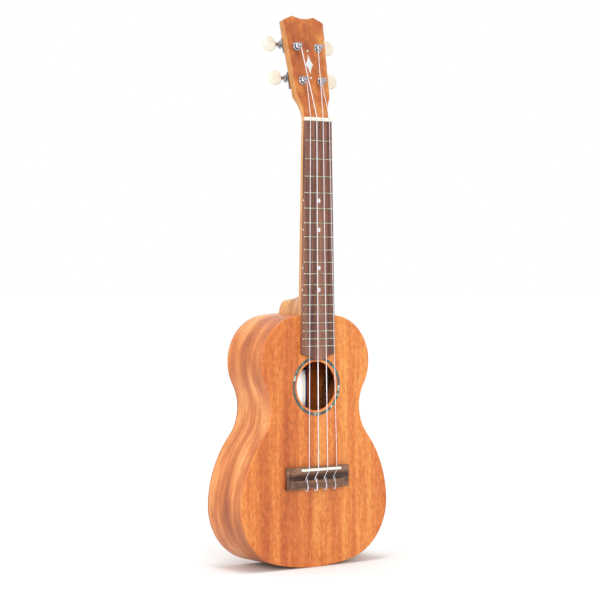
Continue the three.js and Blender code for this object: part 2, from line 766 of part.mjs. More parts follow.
// An ear of the tuner's plate: a round-topped tab across the worm shaft, drawn in depth (x)
// and height above the post (y), and extruded along X.
function makeEar(start) {
  const seat = HEAD.thickness + SEAT_GAP;
  const shape = new THREE.Shape();
  shape.moveTo(WORM_ABOVE - EAR.halfWidth, seat);
  shape.lineTo(WORM_ABOVE + EAR.halfWidth, seat);
  shape.lineTo(WORM_ABOVE + EAR.halfWidth, WORM_DEPTH);
  shape.absellipse(WORM_ABOVE, WORM_DEPTH, EAR.halfWidth, EAR.top - WORM_DEPTH, 0, Math.PI, false, 0);
  shape.lineTo(WORM_ABOVE - EAR.halfWidth, seat);
  return solidOf(prismAlongX(shape, start, start + EAR.thickness));
}

function makeTunerPlate(side) {
  const seat = HEAD.thickness + SEAT_GAP;
  const { thickness, inner, outer, below, above, screwRadius, screwFromSide, screwFromEnd } = TUNER_PLATE;
  const front = seat - CUT_PAST;
  const back = seat + thickness + CUT_PAST;
  const bore = POST.radius + RUNNING_GAP;
  let plate = solidOf(block(-inner, outer, seat, seat + thickness, -below, above));
  plate = plate.add(makeEar(-EAR.innerAt)).add(makeEar(EAR.outerAt));
  plate = plate.subtract(solidOf(rod(bore, front, back)));
  for (const screw of [-below + screwFromEnd, above - screwFromEnd]) {
    plate = plate.subtract(solidOf(rod(screwRadius, front, back, -inner + screwFromSide, screw, 10)));
  }
  const reach = SHAFT.buttonStart;
  const journal = rod(SHAFT.journal + RUNNING_GAP, -reach, reach).rotateZ(Math.PI / 2);
  plate = plate.subtract(solidOf(journal.translate(0, WORM_DEPTH, WORM_ABOVE)));
  return geometryOf(side > 0 ? plate : plate.mirror([1, 0, 0]));
}

// The worm's thread: one tooth profile wound round X, right-handed, with the gap between two
// turns facing the wheel at the middle of its length. Each row of points is one edge of the
// profile over one turn, so a row's last point is the first point of the row a turn later.
function makeThread() {
  const around = WORM.stepsPerTurn;
  const profile = [
    [-WORM.rootWidth / 2, WORM.root],
    [-WORM.crestWidth / 2, WORM.crest],
    [WORM.crestWidth / 2, WORM.crest],
    [WORM.rootWidth / 2, WORM.root],
  ];
  const rowCount = profile.length * (WORM.turns + 1) + 1;
  const firstCrest = -(Math.floor(WORM.turns / 2) + 0.5) * LEAD;
  const points = [];
  for (let row = 0; row < rowCount; row += 1) {
    const [offset, radius] = profile[row % profile.length];
    const start = firstCrest + Math.floor(row / profile.length) * LEAD + offset;
    for (let step = 0; step <= around; step += 1) {
      const angle = (2 * Math.PI * step) / around;
      const x = start + (LEAD * step) / around;
      points.push(new THREE.Vector3(x, radius * Math.sin(angle), -radius * Math.cos(angle)));
    }
  }
  const at = (row, step) => row * (around + 1) + step;
  const index = [];
  for (let row = 0; row < rowCount - 1; row += 1) {
    for (let step = 0; step < around; step += 1) {
      index.push(at(row, step), at(row, step + 1), at(row + 1, step));
      index.push(at(row, step + 1), at(row + 1, step + 1), at(row + 1, step));
    }
  }
  // Each end is a fan from the axis to that end's one turn and to the step where it closes.
  const end = rowCount - 1;
  const firstCentre = points.push(new THREE.Vector3(points[at(0, 0)].x + LEAD / 2, 0, 0)) - 1;
  const lastCentre = points.push(new THREE.Vector3(points[at(end, 0)].x + LEAD / 2, 0, 0)) - 1;
  for (let step = 0; step < around; step += 1) {
    index.push(firstCentre, at(0, step + 1), at(0, step));
    index.push(lastCentre, at(end, step), at(end, step + 1));
  }
  for (let row = 0; row < profile.length; row += 1) {
    index.push(firstCentre, at(row, 0), at(row + 1, 0));
    index.push(lastCentre, at(end - row, around), at(end - row - 1, around));
  }
  const geometry = new THREE.BufferGeometry().setFromPoints(points);
  return geometry.setIndex(index);
}

function makeWormShaft(side) {
  const { journal, stub, collar, spindle, buttonStart, spindleLength } = SHAFT;
  const core = WORM.root - WORM.sink;
  const earFace = EAR.outerAt + EAR.thickness;
  const shaft = turned([
    [0, -EAR.innerAt - stub],
    [journal, -EAR.innerAt - stub],
    [journal, -EAR.innerAt + EAR.thickness + RUNNING_GAP],
    [core, -EAR.innerAt + EAR.thickness + RUNNING_GAP],
    [core, EAR.outerAt - RUNNING_GAP],
    [journal, EAR.outerAt - RUNNING_GAP],
    [journal, earFace + RUNNING_GAP],
    [collar, earFace + RUNNING_GAP],
    [collar, buttonStart - GLUE_GAP],
    [spindle, buttonStart - GLUE_GAP],
    [spindle, buttonStart + spindleLength],
    [0, buttonStart + spindleLength],
  ]);
  const solid = solidOf(shaft.rotateZ(-Math.PI / 2));
  const facing = side > 0 ? solid : solid.mirror([1, 0, 0]);
  return geometryOf(facing.add(solidOf(makeThread()))).translate(0, WORM_DEPTH, WORM_ABOVE);
}

// An oval paddle, flat to front and back, with a blind hole for the shaft's spindle.
function makeButton(side) {
  const { length, halfHeight, halfThickness, widestAt, halfSpan, endPower, squareness, sections } = BUTTON;
  const rings = sections.map((share) => {
    const fromWidest = (share - widestAt) / halfSpan;
    const height = halfHeight * Math.sqrt(1 - fromWidest ** 2);
    const thick = halfThickness * Math.sqrt(1 - Math.abs(fromWidest) ** endPower);
    return Array.from({ length: ROUND }, (_, i) => {
      const angle = (2 * Math.PI * i) / ROUND;
      const flat = (value) => Math.sign(value) * Math.abs(value) ** squareness;
      const x = SHAFT.buttonStart + share * length;
      return new THREE.Vector3(x, thick * flat(Math.cos(angle)), height * flat(Math.sin(angle)));
    });
  });
  const boreEnd = SHAFT.buttonStart + SHAFT.spindleLength + RUNNING_GAP;
  const bore = rod(SHAFT.spindle + SEAT_GAP, SHAFT.buttonStart - CUT_PAST, boreEnd, 0, 0, 12);
  const button = solidOf(loft(rings)).subtract(solidOf(bore.rotateZ(-Math.PI / 2)));
  const facing = side > 0 ? button : button.mirror([1, 0, 0]);
  return geometryOf(facing).translate(0, WORM_DEPTH, WORM_ABOVE);
}

function makeTuner({ name, side, row }) {
  const tuner = new THREE.Group();
  tuner.position.set(side * POSTS[row].across, 0, POSTS[row].along);
  piece(tuner, `tuner_${name}_bushing`, makeBushing(), 'chrome');
  piece(tuner, `tuner_${name}_plate`, makeTunerPlate(side), 'chrome');
  piece(tuner, `tuner_${name}_post`, makePost(), 'chrome');
  piece(tuner, `tuner_${name}_worm_shaft`, makeWormShaft(side), 'chrome');
  piece(tuner, `tuner_${name}_button`, makeButton(side), 'ivory');
  return tuner;
}

// ---------------------------------------------------------------- assembly

const instrument = new THREE.Group();

piece(instrument, 'soundboard', makeSoundboard(), 'top');
piece(instrument, 'back', prismAlongY(fullOutline(0), BODY_DEPTH - PLATE, BODY_DEPTH), 'back');
for (const [name, side] of [['bass', -1], ['treble', 1]]) {
  piece(instrument, `side_${name}`, makeSide(side), 'back');
  piece(instrument, `top_lining_${name}`, makeLining(side, PLATE), 'inside');
  const backLiningAt = BODY_DEPTH - PLATE - LINING.height;
  piece(instrument, `back_lining_${name}`, makeLining(side, backLiningAt), 'inside');
}
const neckBlockAt = BODY_LENGTH - SIDE_WALL - NECK_BLOCK.length;
piece(instrument, 'neck_block', makeEndBlock(NECK_BLOCK.halfWidth, neckBlockAt, BODY_LENGTH), 'inside');
const tailBlockEnd = SIDE_WALL + TAIL_BLOCK.length;
piece(instrument, 'tail_block', makeEndBlock(TAIL_BLOCK.halfWidth, 0, tailBlockEnd), 'inside');
piece(instrument, 'upper_brace', makeBrace(UPPER_BRACE), 'inside');
piece(instrument, 'lower_brace', makeBrace(LOWER_BRACE), 'inside');
piece(instrument, 'rosette', ring(ROSETTE.inner, ROSETTE.outer, 0, ROSETTE.depth), 'shell');
piece(instrument, 'bridge', makeBridge(), 'rosewood');
piece(instrument, 'saddle', makeSaddle(), 'bone');

const head = new THREE.Group();
head.position.z = HEAD_Z;
head.rotation.x = -rad(HEAD.tilt);
head.updateMatrix();
STRINGS.forEach((string) => head.add(makeTuner(string)));

piece(instrument, 'neck', makeNeck(head.matrix.elements), 'neck');
piece(instrument, 'fretboard', makeFretboard(), 'rosewood');
piece(instrument, 'nut', makeNut(), 'bone');
for (let fret = 1; fret <= FRET_COUNT; fret += 1) {
  piece(instrument, `fret_${String(fret).padStart(2, '0')}`, makeFret(fret), 'nickel');
}
STRINGS.forEach((string, i) => piece(instrument, `string_${string.name}`, makeString(i), 'nylon'));
instrument.add(head);

// The row's origin is below the middle of the instrument's depth, at the tail end.
const thickest = Math.max(...STRINGS.map((string) => string.radius));
instrument.position.y = -(BODY_DEPTH - STRING_HEIGHT.saddle - thickest) / 2;

const ukulele = new THREE.Group();
ukulele.add(instrument);

export default ukulele;
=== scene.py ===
import json
import math

import bmesh
import bpy
from mathutils import Matrix, Vector, geometry


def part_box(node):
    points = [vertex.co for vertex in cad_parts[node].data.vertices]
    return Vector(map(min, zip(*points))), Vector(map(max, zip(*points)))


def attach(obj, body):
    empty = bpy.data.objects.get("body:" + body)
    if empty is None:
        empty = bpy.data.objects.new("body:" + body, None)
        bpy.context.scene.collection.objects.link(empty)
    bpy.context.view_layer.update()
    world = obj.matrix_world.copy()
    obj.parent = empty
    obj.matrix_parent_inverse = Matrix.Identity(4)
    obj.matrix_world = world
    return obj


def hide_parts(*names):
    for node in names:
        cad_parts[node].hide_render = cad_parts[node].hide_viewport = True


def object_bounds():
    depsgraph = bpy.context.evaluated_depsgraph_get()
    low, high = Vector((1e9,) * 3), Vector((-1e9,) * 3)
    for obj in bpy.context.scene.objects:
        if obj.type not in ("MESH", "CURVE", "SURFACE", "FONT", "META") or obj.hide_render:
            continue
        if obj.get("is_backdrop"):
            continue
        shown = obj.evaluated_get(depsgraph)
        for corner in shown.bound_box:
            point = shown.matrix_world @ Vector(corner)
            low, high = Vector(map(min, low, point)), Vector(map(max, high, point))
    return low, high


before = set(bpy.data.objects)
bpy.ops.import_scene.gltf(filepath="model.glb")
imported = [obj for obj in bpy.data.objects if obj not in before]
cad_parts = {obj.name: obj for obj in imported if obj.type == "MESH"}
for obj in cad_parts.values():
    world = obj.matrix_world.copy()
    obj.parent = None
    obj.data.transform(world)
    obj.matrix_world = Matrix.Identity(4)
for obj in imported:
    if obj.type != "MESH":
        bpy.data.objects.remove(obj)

cad_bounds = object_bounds()


# ---------------------------------------------------------------- soundboard
# The soundboard is a single mahogany plate, 2.2 mm thick, with a round soundhole and a shallow
# channel for the rosette. Its outer edge is rounded over and the whole plate is satin lacquered.

SOUNDBOARD_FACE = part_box("soundboard")[0].y
BODY_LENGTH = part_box("soundboard")[1].z * 1000
NUT_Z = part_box("nut")[0].z * 1000
BODY_DEPTH = 66
PLATE = 2.2
NUT_TO_HOLE = 289.6
HOLE_Z = NUT_Z - NUT_TO_HOLE
HOLE_RADIUS = 26.8
ROSETTE_INNER = 29.1
ROSETTE_OUTER = 32.7
ROSETTE_DEPTH = 1.0
EDGE_ROUND = 0.9
EDGE_EASE = 0.2

# Radius and turn of each arc from the neck round to the tail. The waist turns the other way.
BODY_ARCS = [(204.3, 8.4), (51.0, 111.5), (49.1, -69.7), (120.3, 37.9), (63.9, 79.4)]


def metres(x, y, z):
    """A point of the instrument in metres. y is the depth behind the soundboard's face."""
    return Vector((x / 1000, SOUNDBOARD_FACE + y / 1000, z / 1000))


def tone(red, green, blue):
    """A colour from its usual 0 to 255 values."""
    return tuple(((c / 255 + 0.055) / 1.055) ** 2.4 for c in (red, green, blue)) + (1,)


class Shade:
    """What a node gives out. Python's operators combine shades through Math nodes."""

    def __init__(self, finish, socket):
        self.finish = finish
        self.socket = socket

    def __add__(self, other):
        return self.finish.maths("ADD", self, other)

    def __radd__(self, other):
        return self.finish.maths("ADD", other, self)

    def __sub__(self, other):
        return self.finish.maths("SUBTRACT", self, other)

    def __rsub__(self, other):
        return self.finish.maths("SUBTRACT", other, self)

    def __mul__(self, other):
        return self.finish.maths("MULTIPLY", self, other)

    def __rmul__(self, other):
        return self.finish.maths("MULTIPLY", other, self)

    def __truediv__(self, other):
        return self.finish.maths("DIVIDE", self, other)

    def __gt__(self, other):
        return self.finish.maths("GREATER_THAN", self, other)

    def __lt__(self, other):
        return self.finish.maths("LESS_THAN", self, other)


class Finish:
    """A finish under construction: a material with one Principled shader."""

    def __init__(self, name, **surface):
        self.material = bpy.data.materials.new(name)
        self.material.use_nodes = True
        self.tree = self.material.node_tree
        self.shader = self.tree.nodes["Principled BSDF"]
        for socket, value in surface.items():
            self.shader.inputs[socket.replace("_", " ").title().replace("Ior", "IOR")].default_value = value

    def add(self, kind, settings=None, sockets=None, out=0):
        """Adds any node: its settings first, then a value or a shade for each socket."""
        node = self.tree.nodes.new(kind)
        for setting, value in (settings or {}).items():
            if setting == "stops":
                while len(node.color_ramp.elements) < len(value):
                    node.color_ramp.elements.new(0.5)
                for stop, (place, colour) in zip(node.color_ramp.elements, value):
                    stop.position = place
                    stop.color = colour
            else:
                setattr(node, setting, value)
        for socket, value in (sockets or {}).items():
            if isinstance(value, Shade):
                self.tree.links.new(value.socket, node.inputs[socket])
            else:
                node.inputs[socket].default_value = value
        return Shade(self, node.outputs[out])

    def maths(self, operation, *values):
        return self.add("ShaderNodeMath", {"operation": operation}, dict(enumerate(values)))

    def place(self, scale=(1, 1, 1), shift=(0, 0, 0)):
        """Where a point lies on the piece, stretched by scale."""
        coordinates = self.add("ShaderNodeTexCoord", out="Object")
        return self.add("ShaderNodeMapping", {}, {"Vector": coordinates, "Scale": scale, "Location": shift})

    def noise(self, place, size, detail=3, distortion=0.0):
        """Clouds about size millimetres across, from 0 to 1."""
        sockets = {"Vector": place, "Scale": 1000 / size, "Detail": detail, "Distortion": distortion}
        return self.add("ShaderNodeTexNoise", {}, sockets)

    def ramp(self, shade, stops):
        """A colour for each level of a shade."""
        return self.add("ShaderNodeValToRGB", {"stops": stops}, {"Fac": shade})

    def blend(self, share, first, second, way="MIX"):
        """Two colours mixed by a share of the second."""
        settings = {"data_type": "RGBA", "blend_type": way, "clamp_factor": True}
        return self.add("ShaderNodeMix", settings, {0: share, 6: first, 7: second}, out=2)

    def step(self, shade, low, high):
        """0 below low, 1 above high, and smooth between them."""
        sockets = {"Value": shade, "From Min": low, "From Max": high}
        return self.add("ShaderNodeMapRange", {"interpolation_type": "SMOOTHSTEP"}, sockets)

    def relief(self, height, depth):
        """Raises the surface by height times depth millimetres."""
        sockets = {"Height": height, "Distance": depth / 1000, "Strength": 1.0}
        self.paint("Normal", self.add("ShaderNodeBump", {}, sockets))

    def paint(self, socket, shade):
        self.tree.links.new(shade.socket, self.shader.inputs[socket])


def mahogany(name, light, middle, dark, grain, figure=0.5, patch=11, drawn=0.8, gloss=0.12):
    """Mahogany under satin lacquer. grain is 0 on the axes the grain runs along and 1 across them.

    figure is how strong the light and dark patches are. patch is their size across the grain, and
    drawn is below 1 where they are longer along it.
    """
    wood = Finish(name, specular_ior_level=0.35, coat_roughness=0.25)

    def place(stretch):
        return wood.place([1 if across else stretch for across in grain])

    bands = wood.noise(place(0.035), 26, detail=2, distortion=0.4)
    ribbons = wood.noise(place(0.06), 7, detail=3, distortion=0.3)
    mottle = wood.noise(place(drawn), patch, detail=3, distortion=0.3)
    fibres = wood.noise(place(0.035), 0.9, detail=4)
    pore = wood.step(wood.noise(place(0.09), 0.55, detail=1), 0.60, 0.69)
    tint = (bands * 0.5 + ribbons * 0.25 + fibres * 0.2 + mottle * figure * 0.6) / (0.95 + figure * 0.6)
    colour = wood.ramp(tint, [(0.37, dark), (0.50, middle), (0.62, light)])
    shaded = wood.blend(pore * 0.5, colour, (0.10, 0.032, 0.012, 1))
    wood.paint("Base Color", shaded)
    wood.paint("Roughness", 0.36 + fibres * 0.14 + pore * 0.15 - mottle * 0.08)
    wood.paint("Coat Weight", gloss - pore * gloss * 0.6)
    wood.relief(fibres * 0.35 - pore * 0.8, 0.05)
    return wood.material


def half_outline(inset, step=2.0):
    """The treble half of the body's outline, from neck to tail, as (x, z), moved inwards by inset."""
    points = []
    x = drop = heading = 0.0

    def follow(radius, turn):
        nonlocal x, drop, heading
        side = math.copysign(1, turn)
        centre_x = x - side * radius * math.sin(heading)
        centre_drop = drop + side * radius * math.cos(heading)
        steps = math.ceil(abs(math.degrees(turn)) / step)
        for i in range(1 if points else 0, steps + 1):
            angle = heading + turn * i / steps
            reach = side * (radius - side * inset)
            points.append((centre_x + reach * math.sin(angle), centre_drop - reach * math.cos(angle)))
        heading += turn
        x = centre_x + side * radius * math.sin(heading)
        drop = centre_drop - side * radius * math.cos(heading)

    for radius, turn in BODY_ARCS:
        follow(radius, math.radians(turn))
    follow(x / math.sin(heading), math.pi - heading)
    return [(px, drop - pz) for px, pz in points]


def full_outline(inset):
    treble = half_outline(inset)
    return treble + [(-x, z) for x, z in reversed(treble[1:-1])]


def circle(radius, count=96):
    """A circle around the middle of the soundhole."""
    turns = [2 * math.pi * i / count for i in range(count)]
    return [(radius * math.sin(turn), HOLE_Z + radius * math.cos(turn)) for turn in turns]


def at_depth(outline, y):
    return [(x, y, z) for x, z in outline]


class Shape:
    """Points and faces of a piece as it is put together, in millimetres."""

    def __init__(self):
        self.points = []
        self.faces = []

    def sleeve(self, loops):
        """Adds a skin through closed loops of equal length."""
        count = len(loops[0])
        for ring in range(len(loops) - 1):
            for i in range(count):
                a = len(self.points) + ring * count + i
                b = len(self.points) + ring * count + (i + 1) % count
                self.faces.append((a, b, b + count, a + count))
        for loop in loops:
            self.points += loop
        return self

    def lid(self, outer, *holes):
        """Adds a flat face inside a loop, around any holes."""
        first = len(self.points)
        loops = [[Vector(p) for p in loop] for loop in (outer, *holes)]
        self.faces += [tuple(first + i for i in face) for face in geometry.tessellate_polygon(loops)]
        for loop in (outer, *holes):
            self.points += loop
        return self

    def made(self, name, *finishes, sharp=35):
        """The finished mesh, welded, with its faces turned outwards."""
        mesh = bpy.data.meshes.new(name)
        mesh.from_pydata([metres(*p) for p in self.points], [], self.faces)
        return finished(name, mesh, *finishes, sharp=sharp)


def finished(name, mesh, *finishes, sharp=35, weld=1e-6):
    """Links a mesh as a piece, welds it, turns its faces outwards and shades it."""
    form = bmesh.new()
    form.from_mesh(mesh)
    bmesh.ops.remove_doubles(form, verts=form.verts, dist=weld)
    bmesh.ops.dissolve_degenerate(form, edges=form.edges, dist=1e-7)
    bmesh.ops.recalc_face_normals(form, faces=form.faces)
    form.to_mesh(mesh)
    form.free()
    piece = bpy.data.objects.new(name, mesh)
    bpy.context.scene.collection.objects.link(piece)
    for finish in finishes:
        mesh.materials.append(finish)
    mesh.shade_smooth()
    mesh.set_sharp_from_angle(angle=math.radians(sharp))
    return piece


def fit(piece, body, slot, *nodes):
    """Puts a finished piece on its body in place of its plain solids."""
    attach(piece, body)
    if nodes:
        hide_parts(*nodes)


def rounded_edge(outline_at, front, back, radius, steps=4):
    """Loops over a plate's edge, from its flat front face to its back face, rounded at the front."""
    loops = [at_depth(outline_at(radius + 0.5), front)]
    for i in range(steps + 1):
        angle = math.pi / 2 * i / steps
        inset = radius * (1 - math.sin(angle))
        loops.append(at_depth(outline_at(inset), front + radius * (1 - math.cos(angle))))
    loops.append(at_depth(outline_at(0), back - EDGE_EASE))
    loops.append(at_depth(outline_at(EDGE_EASE), back))
    return loops


top_mahogany = mahogany(
    "top_mahogany", tone(230, 152, 76), tone(206, 114, 50), tone(170, 80, 34), (1, 1, 0), figure=0.4, patch=4,
)

board = Shape()
edge = rounded_edge(full_outline, 0, PLATE, EDGE_ROUND)
board.sleeve(edge)
board.lid(edge[0], at_depth(circle(ROSETTE_OUTER), 0))
board.sleeve([
    at_depth(circle(ROSETTE_OUTER), 0),
    at_depth(circle(ROSETTE_OUTER), ROSETTE_DEPTH),
    at_depth(circle(ROSETTE_INNER), ROSETTE_DEPTH),
    at_depth(circle(ROSETTE_INNER), 0),
    at_depth(circle(HOLE_RADIUS + 0.4), 0),
    at_depth(circle(HOLE_RADIUS + 0.1), 0.15),
    at_depth(circle(HOLE_RADIUS), 0.45),
    at_depth(circle(HOLE_RADIUS), PLATE - EDGE_EASE),
    at_depth(circle(HOLE_RADIUS + EDGE_EASE), PLATE),
])
board.lid(edge[-1], at_depth(circle(HOLE_RADIUS + EDGE_EASE), PLATE))
fit(board.made("soundboard_plate", top_mahogany), "instrument", "top_wood", "soundboard")


# ---------------------------------------------------------------- back
# The back is a flat mahogany plate of the same outline, with the same rounded edge. It is glued
# to the ribs and their linings, and is satin lacquered like the rest of the body.

body_mahogany = mahogany(
    "body_mahogany", tone(208, 130, 58), tone(176, 94, 36), tone(132, 60, 22), (1, 1, 0), figure=0.5,
)
back = Shape()
back_edge = [[(x, BODY_DEPTH - y, z) for x, y, z in loop]
             for loop in rounded_edge(full_outline, 0, PLATE, EDGE_ROUND)]
back.sleeve(back_edge).lid(back_edge[0]).lid(back_edge[-1])
fit(back.made("back_plate", body_mahogany), "instrument", "body_wood", "back")


# ---------------------------------------------------------------- sides
# Two bent mahogany strips, 1.8 mm thick, make the ribs. Their grain runs round the body, and
# they meet at the neck and in a fine joint line at the tail.

SIDE_WALL = 1.8
side_mahogany = mahogany(
    "side_mahogany", tone(234, 166, 98), tone(190, 108, 52), tone(138, 68, 32), (0, 1, 0),
    figure=1.3, patch=26, drawn=0.3,
)


def make_side(name, side):
    outer = half_outline(0)
    inner = half_outline(SIDE_WALL)
    rib = Shape()
    loops = [
        [(side * ox, PLATE, oz), (side * ox, BODY_DEPTH - PLATE, oz),
         (side * ix, BODY_DEPTH - PLATE, iz), (side * ix, PLATE, iz)]
        for (ox, oz), (ix, iz) in zip(outer, inner)
    ]
    rib.sleeve(loops).lid(loops[0]).lid(loops[-1])
    fit(rib.made(f"rib_{name}", side_mahogany), "instrument", "body_wood", f"side_{name}")


make_side("bass", -1)
make_side("treble", 1)


# ---------------------------------------------------------------- linings
# The linings are strips of plain wood in the corners between the ribs and the plates. Each is
# sawn almost through every few millimetres, so that it bends, and is tapered to a thin edge.

LINING_WIDTH = 5
LINING_HEIGHT = 7
LINING_EDGE = 1.6
KERF_PITCH = 6.0
KERF_WIDTH = 1.0
STRIP_THICKNESS = 0.8
WEDGE_OVERLAP = 0.5
CLEAR_OF_NECK_BLOCK = 26
CLEAR_OF_TAIL_BLOCK = 22

inner_wood = mahogany(
    "bare_inner_wood", tone(150, 100, 58), tone(122, 76, 42), tone(92, 54, 28), (0, 0, 1), gloss=0.0,
)


def bake(piece):
    """Turns a piece's modifiers into its mesh."""
    bpy.context.view_layer.update()
    evaluated = piece.evaluated_get(bpy.context.evaluated_depsgraph_get())
    mesh = bpy.data.meshes.new_from_object(evaluated)
    piece.modifiers.clear()
    piece.data = mesh


def scattered(name, unit, places, finish, unevenness=0.0, seed=1, sharp=35):
    """A copy of unit at each place, given as its point in millimetres, its turn and its stretch.

    The unit's mesh has its own origin, and is used up.
    """
    tree = bpy.data.node_groups.new(f"{name}_tree", "GeometryNodeTree")
    inputs = {}
    for label, kind in (("Geometry", "NodeSocketGeometry"), ("Unit", "NodeSocketObject"),
                        ("Finish", "NodeSocketMaterial"), ("Unevenness", "NodeSocketFloat"),
                        ("Seed", "NodeSocketInt")):
        inputs[label] = tree.interface.new_socket(label, in_out="INPUT", socket_type=kind)
    tree.interface.new_socket("Geometry", in_out="OUTPUT", socket_type="NodeSocketGeometry")

    def grow(kind, settings=None, sockets=None):
        node = tree.nodes.new(kind)
        for setting, value in (settings or {}).items():
            setattr(node, setting, value)
        for socket, value in (sockets or {}).items():
            if isinstance(value, bpy.types.NodeSocket):
                tree.links.new(value, node.inputs[socket])
            else:
                node.inputs[socket].default_value = value
        return node

    given = grow("NodeGroupInput").outputs
    copied = grow("GeometryNodeObjectInfo", {"transform_space": "ORIGINAL"}, {0: given["Unit"], 1: True})
    turned = grow("GeometryNodeInputNamedAttribute", {"data_type": "FLOAT_VECTOR"}, {0: "turn"})
    stretched = grow("GeometryNodeInputNamedAttribute", {"data_type": "FLOAT_VECTOR"}, {0: "stretch"})
    least = grow("ShaderNodeMath", {"operation": "SUBTRACT"}, {0: 1.0, 1: given["Unevenness"]})
    random = grow("FunctionNodeRandomValue", {"data_type": "FLOAT"},
                  {2: least.outputs[0], 3: 1.0, 8: given["Seed"]})
    size = grow("ShaderNodeVectorMath", {"operation": "SCALE"},
                {0: stretched.outputs[0], 3: random.outputs[1]})
    facing = grow("FunctionNodeEulerToRotation", {}, {0: turned.outputs[0]})
    placed = grow("GeometryNodeInstanceOnPoints", {}, {
        "Points": given["Geometry"], "Instance": copied.outputs["Geometry"],
        "Rotation": facing.outputs[0], "Scale": size.outputs[0],
    })
    real = grow("GeometryNodeRealizeInstances", {}, {0: placed.outputs[0]})
    dressed = grow("GeometryNodeSetMaterial", {}, {0: real.outputs[0], "Material": given["Finish"]})
    grow("NodeGroupOutput", {}, {0: dressed.outputs[0]})

    points = bpy.data.meshes.new(f"{name}_places")
    points.from_pydata([metres(*place) for place, turn, stretch in places], [], [])
    turns = points.attributes.new("turn", "FLOAT_VECTOR", "POINT")
    stretches = points.attributes.new("stretch", "FLOAT_VECTOR", "POINT")
    for i, (place, turn, stretch) in enumerate(places):
        turns.data[i].vector = turn.to_euler()
        stretches.data[i].vector = stretch
    seeded = bpy.data.objects.new(f"{name}_seed", points)
    bpy.context.scene.collection.objects.link(seeded)
    modifier = seeded.modifiers.new("grow", "NODES")
    modifier.node_group = tree
    for label, value in (("Unit", unit), ("Finish", finish), ("Unevenness", unevenness), ("Seed", seed)):
        modifier[inputs[label].identifier] = value
    bake(seeded)
    mesh = seeded.data
    mesh.name = name
    bpy.data.objects.remove(seeded)
    bpy.data.objects.remove(unit)
    mesh.materials.clear()
    return finished(name, mesh, finish, sharp=sharp, weld=1e-7)


def unit_of(name, loops, lids=(0, -1)):
    """A small shape about its own origin, in millimetres, for scattered()."""
    shape = Shape().sleeve(loops)
    for lid in lids:
        shape.lid(loops[lid])
    mesh = bpy.data.meshes.new(name)
    mesh.from_pydata([Vector(p) / 1000 for p in shape.points], [], shape.faces)
    return finished(name, mesh)


def wedge_unit():
    """One block of lining between two saw cuts: x inwards, y away from the plate, z along the rib."""
    half = (KERF_PITCH - KERF_WIDTH) / 2
    section = [(WEDGE_OVERLAP, 0), (LINING_WIDTH, 0), (LINING_WIDTH, LINING_HEIGHT * 0.3),
               (LINING_EDGE, LINING_HEIGHT), (WEDGE_OVERLAP, LINING_HEIGHT)]
    return unit_of("wedge", [[(x, y, z) for x, y in section] for z in (-half, half)])


def make_lining(name, side, front):
    """A row of wedges along the inside of a rib, joined by the thin strip the saw leaves."""
    outer = [(side * x, z) for x, z in half_outline(SIDE_WALL)]
    inner = [(side * x, z) for x, z in half_outline(SIDE_WALL + STRIP_THICKNESS)]
    kept = [i for i, (x, z) in enumerate(outer)
            if abs(x) > (CLEAR_OF_NECK_BLOCK if z > BODY_LENGTH / 2 else CLEAR_OF_TAIL_BLOCK)]
    glued = PLATE if front else BODY_DEPTH - PLATE
    thin = glued + LINING_HEIGHT if front else glued - LINING_HEIGHT
    loops = [[(outer[i][0], glued, outer[i][1]), (outer[i][0], thin, outer[i][1]),
              (inner[i][0], thin, inner[i][1]), (inner[i][0], glued, inner[i][1])] for i in kept]
    node = f"{'top' if front else 'back'}_lining_{name}"
    strip = Shape().sleeve(loops).lid(loops[0]).lid(loops[-1]).made(f"strip_{node}", inner_wood)
    fit(strip, "instrument", "inner_wood", node)

    path = [Vector(outer[i]) for i in kept]
    lengths = [0.0]
    for before, after in zip(path, path[1:]):
        lengths.append(lengths[-1] + (after - before).length)
    count = int(lengths[-1] / KERF_PITCH)
    places = []
    reach = 0
    for i in range(count):
        middle = (i + 0.5) * lengths[-1] / count
        while lengths[reach + 1] < middle:
            reach += 1
        share = (middle - lengths[reach]) / (lengths[reach + 1] - lengths[reach])
        centre = path[reach].lerp(path[reach + 1], share)
        run = (path[reach + 1] - path[reach]).normalized()
        inwards = Vector((run.y, 0, -run.x)) * side
        turn = Matrix((inwards, (0, 1, 0), inwards.cross((0, 1, 0)))).transposed()
        if not front:
            turn = turn @ Matrix.Rotation(math.pi, 3, "X")
        places.append(((centre.x, glued, centre.y), turn, (1, 1, 1)))
    wedges = scattered(f"wedges_{node}", wedge_unit(), places, inner_wood, unevenness=0.03, seed=7)
    fit(wedges, "instrument", "inner_wood")


for lining_name, lining_side in (("bass", -1), ("treble", 1)):
    make_lining(lining_name, lining_side, True)
    make_lining(lining_name, lining_side, False)


# ---------------------------------------------------------------- blocks and braces
# Solid blocks fill the body's two ends, where the neck and the two ribs' joint are glued. Two
# straight braces run across the soundboard, above and below the soundhole.

BRACE_WIDTH = 6
BRACE_HEIGHT = 9.5
BRACE_ROUND = 1.8
BRACE_SHAVED_FROM = 0.6
BRACE_SHAVING = 1.55
# How far each brace lies from the nut, and half its length.
BRACES = {"upper_brace": (250, 60), "lower_brace": (330, 54)}

raw_wood = mahogany(
    "raw_wood", tone(176, 128, 78), tone(150, 104, 60), tone(118, 76, 42), (1, 0, 1), gloss=0.0,
)
for end_block in ("neck_block", "tail_block"):
    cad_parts[end_block].data.materials.clear()
    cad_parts[end_block].data.materials.append(raw_wood)


